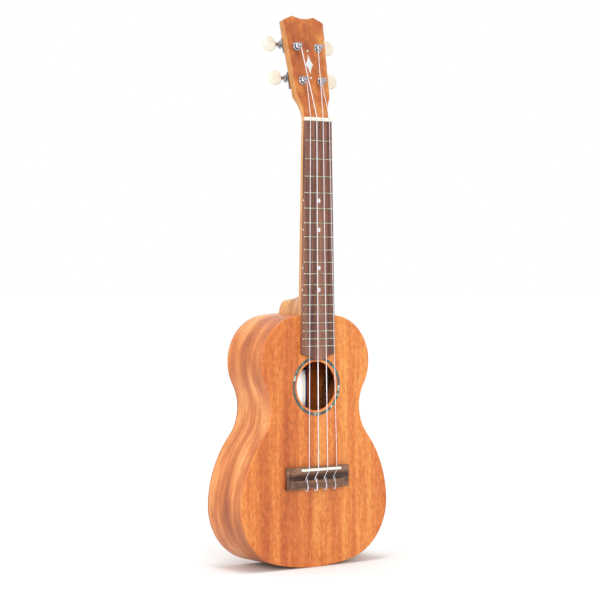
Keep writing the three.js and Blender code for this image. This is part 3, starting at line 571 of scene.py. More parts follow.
def make_brace(node, from_nut, half_length):
    """A brace that is shaved down towards both ends and rounded along its inner edge."""
    half = BRACE_WIDTH / 2
    z = NUT_Z - from_nut
    bar = Shape()
    loops = []
    for i in range(25):
        share = i / 12 - 1
        height = BRACE_HEIGHT * (1 - max(0, abs(share) - BRACE_SHAVED_FROM) * BRACE_SHAVING)
        right = [(half * 0.35, height), (half * 0.78, height - BRACE_ROUND / 3),
                 (half, height - BRACE_ROUND), (half, 0)]
        profile = [(-across, depth) for across, depth in reversed(right)] + right
        loops.append([(share * half_length, PLATE + depth, z + side) for side, depth in profile])
    bar.sleeve(loops).lid(loops[0]).lid(loops[-1])
    fit(bar.made(f"shaved_{node}", raw_wood), "instrument", "inner_wood", node)


for brace, (brace_from_nut, brace_half_length) in BRACES.items():
    make_brace(brace, brace_from_nut, brace_half_length)


# ---------------------------------------------------------------- rosette
# The rosette is a mosaic ring of short dyed wood and shell pieces between two pairs of thin
# dark and pale lines. It is let into the soundboard and lies flush with it.

MOSAIC_PIECES = 64
MOSAIC_JOINT = 0.07
DARK_LINE = 0.6
PALE_LINE = 0.15

mosaic = Finish("rosette_mosaic", roughness=0.24, coat_weight=0.6, coat_roughness=0.1)
spot = mosaic.add("ShaderNodeSeparateXYZ", {}, {0: mosaic.place((1000, 1000, 1000), (0, 0, -HOLE_Z))})
across, upwards = (Shade(mosaic, spot.socket.node.outputs[axis]) for axis in "XZ")
ring_radius = mosaic.maths("SQRT", across * across + upwards * upwards)
turn = mosaic.maths("ARCTAN2", across, upwards) * (MOSAIC_PIECES / math.tau)
share = mosaic.maths("FRACT", turn)
chance = mosaic.add("ShaderNodeTexWhiteNoise", {"noise_dimensions": "1D"}, {"W": mosaic.maths("FLOOR", turn)})
dyes = mosaic.ramp(chance, [
    (0.0, tone(18, 48, 42)), (0.20, tone(22, 112, 80)), (0.38, tone(206, 206, 192)),
    (0.45, tone(30, 24, 26)),
    (0.62, tone(70, 122, 118)), (0.74, tone(104, 54, 38)), (0.82, tone(150, 186, 166)),
    (0.88, tone(24, 72, 68)),
])
dyes.socket.node.color_ramp.interpolation = "CONSTANT"
grain = mosaic.noise(mosaic.place(), 1.2, detail=3)
dyed = mosaic.blend(grain * 0.5, dyes, tone(36, 26, 24), "SOFT_LIGHT")
jointed = mosaic.blend(share < MOSAIC_JOINT, dyed, tone(30, 20, 18))
both_lines = DARK_LINE + PALE_LINE
within_dark = (ring_radius > ROSETTE_INNER + DARK_LINE) * (ring_radius < ROSETTE_OUTER - DARK_LINE)
within_pale = (ring_radius > ROSETTE_INNER + both_lines) * (ring_radius < ROSETTE_OUTER - both_lines)
lined = mosaic.blend(within_pale, tone(214, 200, 178), jointed)
mosaic.paint("Base Color", mosaic.blend(within_dark, tone(34, 22, 20), lined))
mosaic.paint("Roughness", 0.22 + grain * 0.12)
mosaic.relief(grain, 0.02)

inlaid = Shape()
inlaid.sleeve([
    at_depth(circle(ROSETTE_INNER), ROSETTE_DEPTH),
    at_depth(circle(ROSETTE_INNER), 0),
    at_depth(circle(ROSETTE_OUTER), 0),
    at_depth(circle(ROSETTE_OUTER), ROSETTE_DEPTH),
    at_depth(circle(ROSETTE_INNER), ROSETTE_DEPTH),
])
fit(inlaid.made("rosette_ring", mosaic.material), "instrument", "shell", "rosette")


# ---------------------------------------------------------------- label
# A blank cream paper label with a dark blue border is glued inside the back, below the
# soundhole. A real label carries a name, and this one is left without any lettering.

LABEL_HALF_WIDTH = 35
LABEL_TAIL = 164.6
LABEL_HEAD = 214.6
LABEL_BORDER = 2.2
LABEL_THICKNESS = 0.12
BACK_INSIDE = BODY_DEPTH - PLATE

paper = Finish("label_paper", roughness=0.72)
label_middle = (0, 0, -(LABEL_TAIL + LABEL_HEAD) / 2)
spot = paper.add("ShaderNodeSeparateXYZ", {}, {0: paper.place((1000, 1000, 1000), label_middle)})
beside, above = (paper.maths("ABSOLUTE", Shade(paper, spot.socket.node.outputs[axis])) for axis in "XZ")
half_tall = (LABEL_HEAD - LABEL_TAIL) / 2
inside = (beside < LABEL_HALF_WIDTH - LABEL_BORDER) * (above < half_tall - LABEL_BORDER)
fibres = paper.noise(paper.place(), 0.9, detail=4)
ageing = paper.noise(paper.place(), 26, detail=2)
cream = paper.ramp(ageing * 0.7 + fibres * 0.3, [(0.3, tone(246, 240, 228)), (0.7, tone(255, 252, 246))])
paper.paint("Base Color", paper.blend(inside, tone(34, 42, 78), cream))
paper.paint("Roughness", 0.66 + fibres * 0.16)
paper.relief(fibres, 0.03)

corners = [(-LABEL_HALF_WIDTH, LABEL_TAIL), (LABEL_HALF_WIDTH, LABEL_TAIL),
           (LABEL_HALF_WIDTH, LABEL_HEAD), (-LABEL_HALF_WIDTH, LABEL_HEAD)]
front, glued = at_depth(corners, BACK_INSIDE - LABEL_THICKNESS), at_depth(corners, BACK_INSIDE)
label = Shape().sleeve([front, glued]).lid(front).lid(glued)
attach(label.made("blank_label", paper.material), "instrument")


# ---------------------------------------------------------------- neck
# The neck and headstock are one piece of mahogany. Its back is a rounded D that deepens into
# the heel, and the headstock leans back and ends in two low peaks. Its face is stained redder.

SCALE_LENGTH = 380
NUT_HALF_WIDTH = 17.75
LAST_FRET_HALF_WIDTH = 22.3
HEAD_Z = NUT_Z + 4.0
HEAD_TILT = math.radians(12.3)
HEAD_THICKNESS = 10
HEAD_HALF_WIDTHS = (17.3, 22.8, 27.4)
FLARE_END = 24
PEAK = (14.3, 116.6)
EAR_HEIGHT = 110.2
HOLLOW_HEIGHT = 114.0
PEAK_BULGE = 1.2
NECK_DEPTH = 12.0
NECK_DEEPENING = 1.3
NECK_ROUNDNESS = 2 / 2.3
SQUARE_BACK = 0.1
SANDING_GRAIN = 0.85
BUSHING_HOLE = 4.3
BUSHING_HOLE_DEPTH = 6.2
POST_HOLE = 3.1
POST_PLACES = {"g": (-12.8, 41.8), "c": (-14.5, 80.5), "e": (14.5, 80.5), "a": (12.8, 41.8)}

# The heel as slices: depth behind the soundboard's face, distance from the nut, half width.
HEEL_SLICES = [
    (-3, 160, 19.2), (6, 164, 18.5), (10, 171, 17.8), (13.3, 177.5, 17.0), (19, 185.5, 15.4),
    (26, 190.3, 13.8), (36, 193.3, 12.0), (47, 195.0, 10.5), (56, 195.8, 9.5), (59, 197.0, 8.6),
    (60, 199.0, 7.2),
]


def fret_distance(fret):
    """Each semitone shortens the string by the twelfth root of 2."""
    return SCALE_LENGTH * (1 - 2 ** (-fret / 12))


def board_half_width(from_nut):
    return NUT_HALF_WIDTH + (LAST_FRET_HALF_WIDTH - NUT_HALF_WIDTH) * from_nut / fret_distance(18)


def on_head(x, behind, along):
    """A point measured on the headstock: across, behind its face, and up along its face."""
    return (x, along * math.sin(HEAD_TILT) + behind * math.cos(HEAD_TILT),
            HEAD_Z + along * math.cos(HEAD_TILT) - behind * math.sin(HEAD_TILT))


def oval_back(half_width, depth, roundness, count=36):
    """Half an oval from the treble edge to the bass edge, as (x, depth)."""
    curve = []
    for i in range(count + 1):
        angle = math.pi * i / count
        wide = 0
        if i != count / 2:
            wide = math.copysign(abs(math.cos(angle)) ** roundness, math.cos(angle))
        curve.append((half_width * wide, depth * max(math.sin(angle), 0) ** roundness))
    return curve


def head_ring(along):
    """A slice of the headstock, which flares above the nut and then widens evenly to its ears."""
    narrow, shoulder, top = HEAD_HALF_WIDTHS
    flare = min(max(along, 0) / FLARE_END, 1)
    widening = (top - shoulder) / (EAR_HEIGHT - FLARE_END)
    half_width = narrow + (shoulder - narrow) * flare ** 2.4 + widening * max(along - FLARE_END, 0)
    neck_back = NECK_DEPTH / math.cos(HEAD_TILT) - along * math.tan(HEAD_TILT)
    roundness = NECK_ROUNDNESS + (SQUARE_BACK - NECK_ROUNDNESS) * flare
    curve = oval_back(half_width, max(neck_back, HEAD_THICKNESS), roundness)
    return [on_head(x, depth, along) for x, depth in curve]


def shaft_ring(from_nut):
    """The shaft begins above the glue line, and is planed flat to it once it is shaped."""
    half = board_half_width(from_nut)
    deepening = NECK_DEEPENING * min(from_nut / 176, 1)
    curve = oval_back(half, NECK_DEPTH + deepening, NECK_ROUNDNESS)
    return [(x, y, NUT_Z - from_nut) for x, y in [(half, -3)] + curve + [(-half, -3)]]


def heel_ring(depth, nose, half):
    """One slice of the heel, from a base inside the body to its rounded nose."""
    base = BODY_LENGTH - 8
    return [(x, depth, base + reach) for x, reach in oval_back(half, NUT_Z - nose - base, NECK_ROUNDNESS)]


def solid_loft(loops):
    return Shape().sleeve(loops).lid(loops[0]).lid(loops[-1]).made("solid")


def combine(piece, operation, other):
    """Adds or cuts away a second solid, which is used up."""
    modifier = piece.modifiers.new(operation, "BOOLEAN")
    modifier.operation = operation
    modifier.solver = "EXACT"
    modifier.object = other
    bake(piece)
    bpy.data.objects.remove(other)
    return piece


def rod(radius, start, end, x, along, count=40):
    """A rod square to the headstock's face."""
    turns = [math.tau * i / count for i in range(count)]
    return solid_loft([
        [on_head(x + radius * math.sin(turn), depth, along + radius * math.cos(turn)) for turn in turns]
        for depth in (start, end)
    ])


def box_solid(low, high):
    (x0, y0, z0), (x1, y1, z1) = low, high
    return solid_loft([[(x0, y, z0), (x1, y, z0), (x1, y, z1), (x0, y, z1)] for y in (y0, y1)])


def curve_through(a, control, b, count):
    """Points on a quadratic curve from a to b, without b."""
    return [tuple((1 - t) ** 2 * p + 2 * t * (1 - t) * q + t * t * r for p, q, r in zip(a, control, b))
            for t in (i / count for i in range(count))]


def crown_cutter():
    """Everything above the headstock's shoulders, two peaks and the hollow between them."""
    peak_x, peak_at = PEAK
    beyond = 5
    edge = HEAD_HALF_WIDTHS[2] + beyond
    edge_at = EAR_HEIGHT - beyond * (peak_at - EAR_HEIGHT) / (HEAD_HALF_WIDTHS[2] - peak_x)
    middle, middle_at = (edge + peak_x) / 2, (edge_at + peak_at) / 2 + PEAK_BULGE
    outline = curve_through((edge, edge_at), (middle, middle_at), (peak_x, peak_at), 12)
    outline += curve_through((peak_x, peak_at), (0, 2 * HOLLOW_HEIGHT - peak_at), (-peak_x, peak_at), 16)
    outline += curve_through((-peak_x, peak_at), (-middle, middle_at), (-edge, edge_at), 12)
    outline += [(-edge, edge_at), (-edge, peak_at + 10), (edge, peak_at + 10)]
    return solid_loft([[on_head(x, depth, s) for x, s in outline] for depth in (-20, 30)])


neck_wood = mahogany(
    "neck_mahogany", tone(220, 168, 106), tone(198, 138, 76), tone(160, 98, 50), (1, 1, 0), figure=0.3,
)
head_face = mahogany(
    "headstock_face", tone(208, 140, 70), tone(180, 98, 44), tone(142, 66, 30), (1, 1, 0), figure=0.8,
)

INTO_BODY = 14
shaft_places = (NUT_Z - BODY_LENGTH + INTO_BODY, 176, 130, 90, 45, 0, -3.2)
head_places = (-0.4, 4, 8, 11, 14, 17, 20, 22, 24, 60, 118.6)
neck = solid_loft([shaft_ring(from_nut) for from_nut in shaft_places])
combine(neck, "UNION", solid_loft([head_ring(along) for along in head_places]))
combine(neck, "UNION", solid_loft([heel_ring(*heel_slice) for heel_slice in HEEL_SLICES]))
combine(neck, "DIFFERENCE", crown_cutter())
even = neck.modifiers.new("even", "REMESH")
even.mode = "VOXEL"
even.voxel_size = SANDING_GRAIN / 1000
sanding = neck.modifiers.new("sanding", "SMOOTH")
sanding.factor = 0.5
sanding.iterations = 7
bake(neck)
combine(neck, "DIFFERENCE", box_solid((-40, -20, 200), (40, 0, HEAD_Z - 0.05)))
combine(neck, "DIFFERENCE", solid_loft([at_depth(full_outline(-0.05), y) for y in (-20, BODY_DEPTH + 10)]))
for x, along in POST_PLACES.values():
    combine(neck, "DIFFERENCE", rod(BUSHING_HOLE, -5, BUSHING_HOLE_DEPTH, x, along))
    combine(neck, "DIFFERENCE", rod(POST_HOLE, -5, 30, x, along))
neck.data.materials.clear()
shaped_neck = finished("shaped_neck", neck.data.copy(), neck_wood, head_face, sharp=40)
bpy.data.objects.remove(neck)
face_out = Vector((0, -math.cos(HEAD_TILT), math.sin(HEAD_TILT)))
for face in shaped_neck.data.polygons:
    on_face = face.center.z > (HEAD_Z + 1) / 1000 and face.normal.dot(face_out) > 0.8
    face.material_index = int(on_face)
fit(shaped_neck, "instrument", "neck_wood", "neck")


# ---------------------------------------------------------------- fretboard
# The fretboard is rosewood, 4.5 mm thick, and widens from the nut to its low pointed end over the
# soundboard. Small pearl dots mark the fifth, seventh, tenth and twelfth frets.

BOARD_THICKNESS = 4.5
# Half of the board's end, as half widths at distances from the nut.
BOARD_END = [(21.9, 254.2), (20.4, 255.0), (16, 256.1), (10.5, 257.6), (8, 259.0), (6, 260.6),
             (4.4, 261.2), (3, 261.4)]
FACE_DOT = 2.3
SIDE_DOT = 0.9
DOT_HEIGHT = 0.05
DOTTED_FRETS = (5, 7, 10, 12)


def rosewood(name, light, middle, dark, along):
    """Open-grained dark wood, oiled rather than lacquered, with black streaks along the grain."""
    wood = Finish(name, roughness=0.55)
    place = wood.place(along)
    bands = wood.noise(place, 9, detail=3, distortion=0.8)
    lines = wood.noise(place, 2.0, detail=4)
    pores = wood.noise(place, 0.45, detail=1)
    pore = wood.step(pores, 0.60, 0.68)
    streak = wood.step(lines, 0.55, 0.72)
    colour = wood.ramp(bands * 0.75 + lines * 0.3, [(0.38, dark), (0.52, middle), (0.68, light)])
    streaked = wood.blend(streak * 0.45, colour, (0.022, 0.010, 0.008, 1))
    wood.paint("Base Color", wood.blend(pore * 0.55, streaked, (0.018, 0.008, 0.006, 1)))
    wood.paint("Roughness", 0.46 + pore * 0.25 + lines * 0.1)
    wood.relief(lines * 0.3 - pore, 0.07)
    return wood.material


board_wood = rosewood(
    "fretboard_rosewood", tone(156, 106, 84), tone(124, 78, 60), tone(74, 40, 32), (1, 1, 0.03),
)

half_board = [(board_half_width(from_nut), from_nut) for from_nut in (0.0, 125.0, 250.0, 253.2)] + BOARD_END
board_outline = [(x, NUT_Z - from_nut) for x, from_nut in half_board]
board_outline += [(-x, z) for x, z in reversed(board_outline)]


def shrink(outline, amount):
    """An outline moved inwards by mitring its corners."""
    moved = []
    for before, here, after in zip(outline[-1:] + outline[:-1], outline, outline[1:] + outline[:1]):
        first = (Vector(here) - Vector(before)).normalized()
        second = (Vector(after) - Vector(here)).normalized()
        normal = (Vector((first.y, -first.x)) + Vector((second.y, -second.x))).normalized()
        mitre = max(normal.dot(Vector((first.y, -first.x))), 0.35)
        moved.append(tuple(Vector(here) + normal * (amount / mitre)))
    return moved


planed = Shape()
planed_loops = [at_depth(shrink(board_outline, inset), depth) for inset, depth in (
    (1.0, -BOARD_THICKNESS), (0.5, -BOARD_THICKNESS), (0.2, -BOARD_THICKNESS + 0.08),
    (0.04, -BOARD_THICKNESS + 0.3),
    (0, -BOARD_THICKNESS + 0.6), (0, 0),
)]
planed.sleeve(planed_loops).lid(planed_loops[0]).lid(planed_loops[-1])
fit(planed.made("planed_fretboard", board_wood), "instrument", "rosewood", "fretboard")


def disc_loops(radius, height, count=28):
    """A disc whose face is at -Y."""
    def ring(r, y):
        turns = [math.tau * i / count for i in range(count)]
        return [(r * math.sin(turn), y, r * math.cos(turn)) for turn in turns]

    return [ring(radius * 0.05, -height), ring(radius * 0.55, -height), ring(radius * 0.88, -height),
            ring(radius, -height * 0.55), ring(radius, 0.5)]


pearl = Finish("pearl", roughness=0.2, coat_weight=0.7, coat_roughness=0.08)
swirl = pearl.noise(pearl.place((1, 1, 0.6)), 2.6, detail=3, distortion=2.5)
pearl.paint("Base Color", pearl.ramp(swirl, [
    (0.3, tone(176, 178, 190)), (0.5, tone(216, 216, 212)), (0.6, tone(190, 208, 202)),
    (0.7, tone(222, 208, 214)),
]))
pearl.paint("Roughness", 0.16 + swirl * 0.15)
pearl.relief(swirl, 0.01)

STRAIGHT = Matrix.Identity(3)
TOWARDS_BASS = Matrix.Rotation(math.radians(-90), 3, "Z")
face_dots = []
side_dots = []
for fret in DOTTED_FRETS:
    between = NUT_Z - (fret_distance(fret - 1) + fret_distance(fret)) / 2
    face_dots.append(((0, -BOARD_THICKNESS + 0.02, between), STRAIGHT, (1, 1, 1)))
    edge_x = -board_half_width(NUT_Z - between)
    side_dots.append(((edge_x + 0.02, -BOARD_THICKNESS / 2, between), TOWARDS_BASS, (1, 1, 1)))
for dots_name, dot_radius, dots in (("face_dots", FACE_DOT, face_dots), ("side_dots", SIDE_DOT, side_dots)):
    dot = unit_of("dot", disc_loops(dot_radius, DOT_HEIGHT))
    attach(scattered(dots_name, dot, dots, pearl.material), "instrument")


# ---------------------------------------------------------------- frets
# Eighteen nickel-silver fret wires are pressed into slots across the fretboard. Their crowns
# are polished and their ends are filed to a slant, flush with the fretboard's edges.

FRET_COUNT = 18
FRET_HALF_WIDTH = 0.8
FRET_CROWN = 1.0
FRET_END_GAP = 0.2

nickel = Finish("fret_nickel", metallic=1.0, roughness=0.22)
filing = nickel.noise(nickel.place((0.2, 1, 1)), 0.35, detail=3)
tarnish = nickel.noise(nickel.place(), 5, detail=2)
nickel.paint("Base Color", nickel.ramp(tarnish, [(0.35, tone(164, 160, 138)), (0.65, tone(196, 194, 174))]))
nickel.paint("Roughness", 0.16 + filing * 0.2)
nickel.relief(filing, 0.006)


def fret_unit():
    """A crown 2 mm long, from -1 to 1 across, which is stretched to each fret's own length."""
    loops = []
    for x, size in ((-1, 0.05), (-0.995, 0.45), (-0.982, 0.85), (-0.955, 1), (0.955, 1), (0.982, 0.85),
                    (0.995, 0.45), (1, 0.05)):
        turns = [math.pi * i / 10 for i in range(11)]
        crown = [(x, -FRET_CROWN * size * math.sin(turn), FRET_HALF_WIDTH * math.cos(turn)) for turn in turns]
        loops.append(crown + [(x, 0.4, -0.4), (x, 0.4, 0.4)])
    return unit_of("fret", loops)


fret_places = []
for fret in range(1, FRET_COUNT + 1):
    from_nut = fret_distance(fret)
    half_length = board_half_width(from_nut) - FRET_END_GAP
    fret_places.append(((0, -BOARD_THICKNESS, NUT_Z - from_nut), STRAIGHT, (half_length, 1, 1)))
fret_nodes = [f"fret_{fret:02d}" for fret in range(1, FRET_COUNT + 1)]
fit(scattered("fret_wires", fret_unit(), fret_places, nickel.material), "instrument", "nickel", *fret_nodes)


# ---------------------------------------------------------------- nut and saddle
# The nut and the saddle are bone-white bars that carry the strings. Their edges are eased by
# hand, and the nut has a slot for each string.


def refined(name, node, finish, bevel, segments=2, angle=30):
    """A piece's plain solid with its edges eased."""
    form = bmesh.new()
    form.from_mesh(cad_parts[node].data)
    bmesh.ops.remove_doubles(form, verts=form.verts, dist=1e-6)
    bmesh.ops.dissolve_limit(form, angle_limit=math.radians(2), verts=form.verts, edges=form.edges)
    mesh = bpy.data.meshes.new(name)
    form.to_mesh(mesh)
    form.free()
    draft = bpy.data.objects.new(name, mesh)
    bpy.context.scene.collection.objects.link(draft)
    easing = draft.modifiers.new("ease", "BEVEL")
    easing.width = bevel / 1000
    easing.segments = segments
    easing.angle_limit = math.radians(angle)
    easing.use_clamp_overlap = True
    easing.harden_normals = True
    bake(draft)
    mesh = draft.data.copy()
    bpy.data.objects.remove(draft)
    mesh.materials.clear()
    return finished(name, mesh, finish, sharp=40)


bone = Finish("polished_bone", roughness=0.32, subsurface_weight=0.12, coat_weight=0.2)
flecks = bone.noise(bone.place((0.3, 1, 1)), 0.8, detail=3)
cloud = bone.noise(bone.place(), 9, detail=2)
bone_tones = [(0.35, tone(216, 210, 196)), (0.65, tone(232, 228, 216))]
bone.paint("Base Color", bone.ramp(cloud * 0.7 + flecks * 0.3, bone_tones))
bone.paint("Roughness", 0.26 + flecks * 0.16)
bone.relief(flecks, 0.015)

fit(refined("eased_nut", "nut", bone.material, 0.35), "instrument", "bone", "nut")
fit(refined("eased_saddle", "saddle", bone.material, 0.6, segments=3), "instrument", "bone", "saddle")


# ---------------------------------------------------------------- bridge
# The bridge is a rosewood block glued to the soundboard. Its scooped wings carry nothing. The
# middle holds the saddle, a channel, and the tie block with four holes for the strings.

bridge_wood = rosewood(
    "bridge_rosewood", tone(150, 106, 78), tone(112, 76, 56), tone(62, 38, 32), (0.04, 1, 1),
)
fit(refined("eased_bridge", "bridge", bridge_wood, 0.35), "instrument", "rosewood", "bridge")


# ---------------------------------------------------------------- strings
# Four clear nylon strings run from the posts over the nut and the saddle into the tie block.
# Each is wound round its post, and is knotted round itself behind the tie block.

STRING_RADII = {"g": 0.35, "c": 0.5, "e": 0.4, "a": 0.3}
NUT_SPACING = 8.65
SADDLE_SPACING = 12.6
POST_WAIST = 2.1
WINDING_TURNS = 2.6
WINDING_STEPS = 20
STRING_AT_POST = -4.6
STRING_AT_NUT = -6.3
STRING_AT_SADDLE = -12
STRING_AT_TIE = -5
KNOT_BASE = -8.0

nylon = Finish("clear_nylon", roughness=0.3, coat_weight=0.3)
drawing = nylon.noise(nylon.place((1, 1, 0.05)), 0.5, detail=2)
nylon.paint("Base Color", nylon.ramp(drawing, [(0.3, tone(222, 216, 226)), (0.7, tone(244, 240, 246))]))
nylon.paint("Roughness", 0.24 + drawing * 0.14)
nylon.paint("Alpha", 0.8 + drawing * 0.2)
nylon.relief(drawing, 0.01)


def tube(points, radius, around=10):
    """A round cord along a path, without twisting."""
    loops = []
    side = None
    for i, here in enumerate(points):
        heading = (Vector(points[min(i + 1, len(points) - 1)]) - Vector(points[max(i - 1, 0)])).normalized()
        side = side or heading.orthogonal()
        side = (side - heading * side.dot(heading)).normalized()
        other = heading.cross(side)
        loops.append([tuple(Vector(here) + (side * math.cos(a) + other * math.sin(a)) * radius)
                      for a in (math.tau * k / around for k in range(around))])
    return Shape().sleeve(loops).lid(loops[0]).lid(loops[-1])


def eased(points, count=8):
    """A smooth path through the points."""
    points = [Vector(p) for p in points]
    ends = [2 * points[0] - points[1]] + points + [2 * points[-1] - points[-2]]
    path = []
    for a, b, c, d in zip(ends, ends[1:], ends[2:], ends[3:]):
        for t in (i / count for i in range(count)):
            path.append(0.5 * (2 * b + (c - a) * t + (2 * a - 5 * b + 4 * c - d) * t ** 2
                               + (3 * b - a - 3 * c + d) * t ** 3))
    return path + [points[-1]]


def make_string(order, name):
    """A string's stretched run, its turns on the post and its knot behind the tie block."""
    radius = STRING_RADII[name]
    x, along = POST_PLACES[name]
    side = math.copysign(1, x)
    beside = side * (abs(x) - POST_WAIST - radius - 0.3)
    nut_x = (order - 1.5) * NUT_SPACING
    saddle_x = (order - 1.5) * SADDLE_SPACING
    path = [
        on_head(beside, STRING_AT_POST, along + 1.5), on_head(beside, STRING_AT_POST, along - 1.5),
        (nut_x, STRING_AT_NUT - 0.02, NUT_Z + 4.6), (nut_x, STRING_AT_NUT - 0.04, NUT_Z + 3.4),
        (nut_x, STRING_AT_NUT, NUT_Z + 1.6), (nut_x, STRING_AT_NUT, NUT_Z - 0.5),
        (saddle_x, STRING_AT_SADDLE, 109.6), (saddle_x, STRING_AT_SADDLE - 0.02, 108.4),
        (saddle_x, STRING_AT_SADDLE + 0.05, 107.0), (saddle_x, STRING_AT_SADDLE + 0.4, 106.0),
        (saddle_x, STRING_AT_TIE - 0.4, 97.6), (saddle_x, STRING_AT_TIE - 0.05, 96.9),
        (saddle_x, STRING_AT_TIE, 95.9), (saddle_x, STRING_AT_TIE, 85.1),
    ]
    stretched = tube(path, radius).made(f"nylon_{name}", nylon.material, sharp=60)
    fit(stretched, "instrument", "nylon", f"string_{name}")

    coil = []
    reach = POST_WAIST + radius * 0.95
    rise = radius * 2.1 * WINDING_TURNS * 0.55
    for i in range(int(WINDING_TURNS * WINDING_STEPS) + 1):
        angle = side * math.tau * i / WINDING_STEPS
        behind = STRING_AT_POST + (i / (WINDING_TURNS * WINDING_STEPS) - 0.2) * rise
        coil.append(on_head(x - side * reach * math.cos(angle), behind, along - reach * math.sin(angle)))
    wound = tube(coil, radius * 0.95, around=8).made(f"winding_{name}", nylon.material, sharp=60)
    fit(wound, f"post_{name}", "nylon")

    top = KNOT_BASE - radius * 0.8
    loop = eased([
        (saddle_x, -5, 85.6), (saddle_x + 0.2, -5.1, 84.9), (saddle_x + 0.4, -6.6, 84.6),
        (saddle_x + 0.5, -8.1, 85.3),
        (saddle_x + 0.5, top - 0.1, 87.2), (saddle_x + 0.7, top, 91.5),
        (saddle_x + 0.4, top, 95.6), (saddle_x + 1.1, -7.8, 97.2), (saddle_x + 0.9, -6.4, 97.9),
        (saddle_x - 0.8, -6.5, 98.2), (saddle_x - 1.2, -7.9, 97.3), (saddle_x - 0.7, top - 0.1, 95.4),
        (saddle_x + 0.1, top - 2 * radius, 92.6), (saddle_x + 1.3, top - radius, 90.0),
        (saddle_x + 1.5, top - 0.1, 87.6),
        (saddle_x + 1.4, -7.7, 85.2), (saddle_x + 0.9, -6.4, 84.4), (saddle_x + 0.9, -5.0, 84.1),
    ], 6)
    knot = tube(loop, radius * 0.8, around=8).made(f"knot_{name}", nylon.material, sharp=60)
    fit(knot, "instrument", "nylon")


for string_order, string_name in enumerate("gcea"):
    make_string(string_order, string_name)


# ---------------------------------------------------------------- headstock inlay
# A small pearl diamond with a dot above and below it is let into the headstock's face. It is
# a plain ornament that stands for no maker.

DIAMOND_HALF_WIDTH = 5.2
DIAMOND_HALF_HEIGHT = 11.5
DIAMOND_PLACE = 61
DOT_FROM_DIAMOND = 15.5
INLAY_DOT = 1.2


def pearl_inlay(name, outline, along):
    """A flat shape of pearl that stands a hair above the headstock's face."""
    levels = [[on_head(x * size, behind, along + s * size) for x, s in outline]
              for size, behind in ((0.97, -0.06), (1.0, -0.03), (1.0, 0.4))]
    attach(Shape().sleeve(levels).lid(levels[0]).lid(levels[-1]).made(name, pearl.material), "instrument")


def round_outline(radius, count=24):
    turns = [math.tau * i / count for i in range(count)]
    return [(radius * math.sin(turn), radius * math.cos(turn)) for turn in turns]


def diamond_outline(half_width, half_height, count=6):
    """A diamond with hollow sides."""
    tips = [(0, half_height), (half_width, 0), (0, -half_height), (-half_width, 0)]
    outline = []
    for tip, following in zip(tips, tips[1:] + tips[:1]):
        control = tuple((a + b) * 0.32 for a, b in zip(tip, following))
        outline += curve_through(tip, control, following, count)
    return outline


pearl_inlay("inlay_diamond", diamond_outline(DIAMOND_HALF_WIDTH, DIAMOND_HALF_HEIGHT), DIAMOND_PLACE)
pearl_inlay("inlay_lower_dot", round_outline(INLAY_DOT), DIAMOND_PLACE - DOT_FROM_DIAMOND)
pearl_inlay("inlay_upper_dot", round_outline(INLAY_DOT), DIAMOND_PLACE + DOT_FROM_DIAMOND)


# ---------------------------------------------------------------- tuners
# Four open tuners turn the strings' posts. A button turns a worm, and the worm turns a wheel
# of 14 teeth on the post. A plate with two ears holds them to the back of the headstock.

GEAR_TEETH = 14
GEAR_PITCH = 3.9
WORM_PITCH = 2.3
WORM_DEPTH = 15
WORM_ABOVE = GEAR_PITCH + WORM_PITCH
LEAD = math.tau * GEAR_PITCH / GEAR_TEETH
BUTTON_START = 18.5
BUTTON_LENGTH = 15
BUTTON_HALF_HEIGHT = 8.75
BUTTON_HALF_THICKNESS = 2.75
BUTTON_WIDEST = 0.47
BUTTON_SPAN = 0.54
BUTTON_SQUARENESS = 0.6
TOOTH_TIP = 4.35
TOOTH_ROOT = 3.2
THREAD_ROOT = 1.55
THREAD_HEIGHT = 1.2
THREAD_TURNS = 4
THREAD_STEPS = 28
STRING_HOLE = 0.62
SCREW_SEAT = 11.2
# How far above the post each screw of a plate lies, and which way its slot points.
PLATE_SCREWS = ((-5, 0.4), (10.5, 1.3))

chrome = Finish("tuner_chrome", metallic=1.0, roughness=0.12)
scratches = chrome.noise(chrome.place((1, 0.15, 1)), 0.5, detail=3)
haze = chrome.noise(chrome.place(), 6, detail=2)
chrome.paint("Base Color", chrome.ramp(haze, [(0.35, tone(150, 150, 156)), (0.65, tone(192, 192, 196))]))
chrome.paint("Roughness", 0.08 + scratches * 0.14 + haze * 0.05)
chrome.relief(scratches, 0.004)

brass = Finish("gear_brass", metallic=1.0, roughness=0.3)
tarnish = brass.noise(brass.place(), 2.4, detail=3)
brass.paint("Base Color", brass.ramp(tarnish, [(0.35, tone(176, 140, 84)), (0.65, tone(212, 182, 118))]))
brass.paint("Roughness", 0.24 + tarnish * 0.24)
brass.relief(tarnish, 0.012)

ivory = Finish("ivory_button", coat_weight=0.4, coat_roughness=0.1)
layers = ivory.noise(ivory.place((0.25, 1, 1)), 3.4, detail=2, distortion=1.2)
clouds = ivory.noise(ivory.place(), 7, detail=2, distortion=0.8)
ivory.paint("Base Color", ivory.ramp(layers * 0.5 + clouds * 0.5, [
    (0.32, tone(204, 190, 170)), (0.5, tone(216, 206, 190)), (0.68, tone(226, 218, 206)),
]))
ivory.paint("Roughness", 0.2 + layers * 0.16)
ivory.relief(layers, 0.006)


def on_tuner(name):
    """Turns a tuner's own sizes into a point: outwards from its post, behind the face, above the post."""
    x, along = POST_PLACES[name]
    side = math.copysign(1, x)
    return lambda outwards, behind, above: on_head(x + side * outwards, behind, along + above)


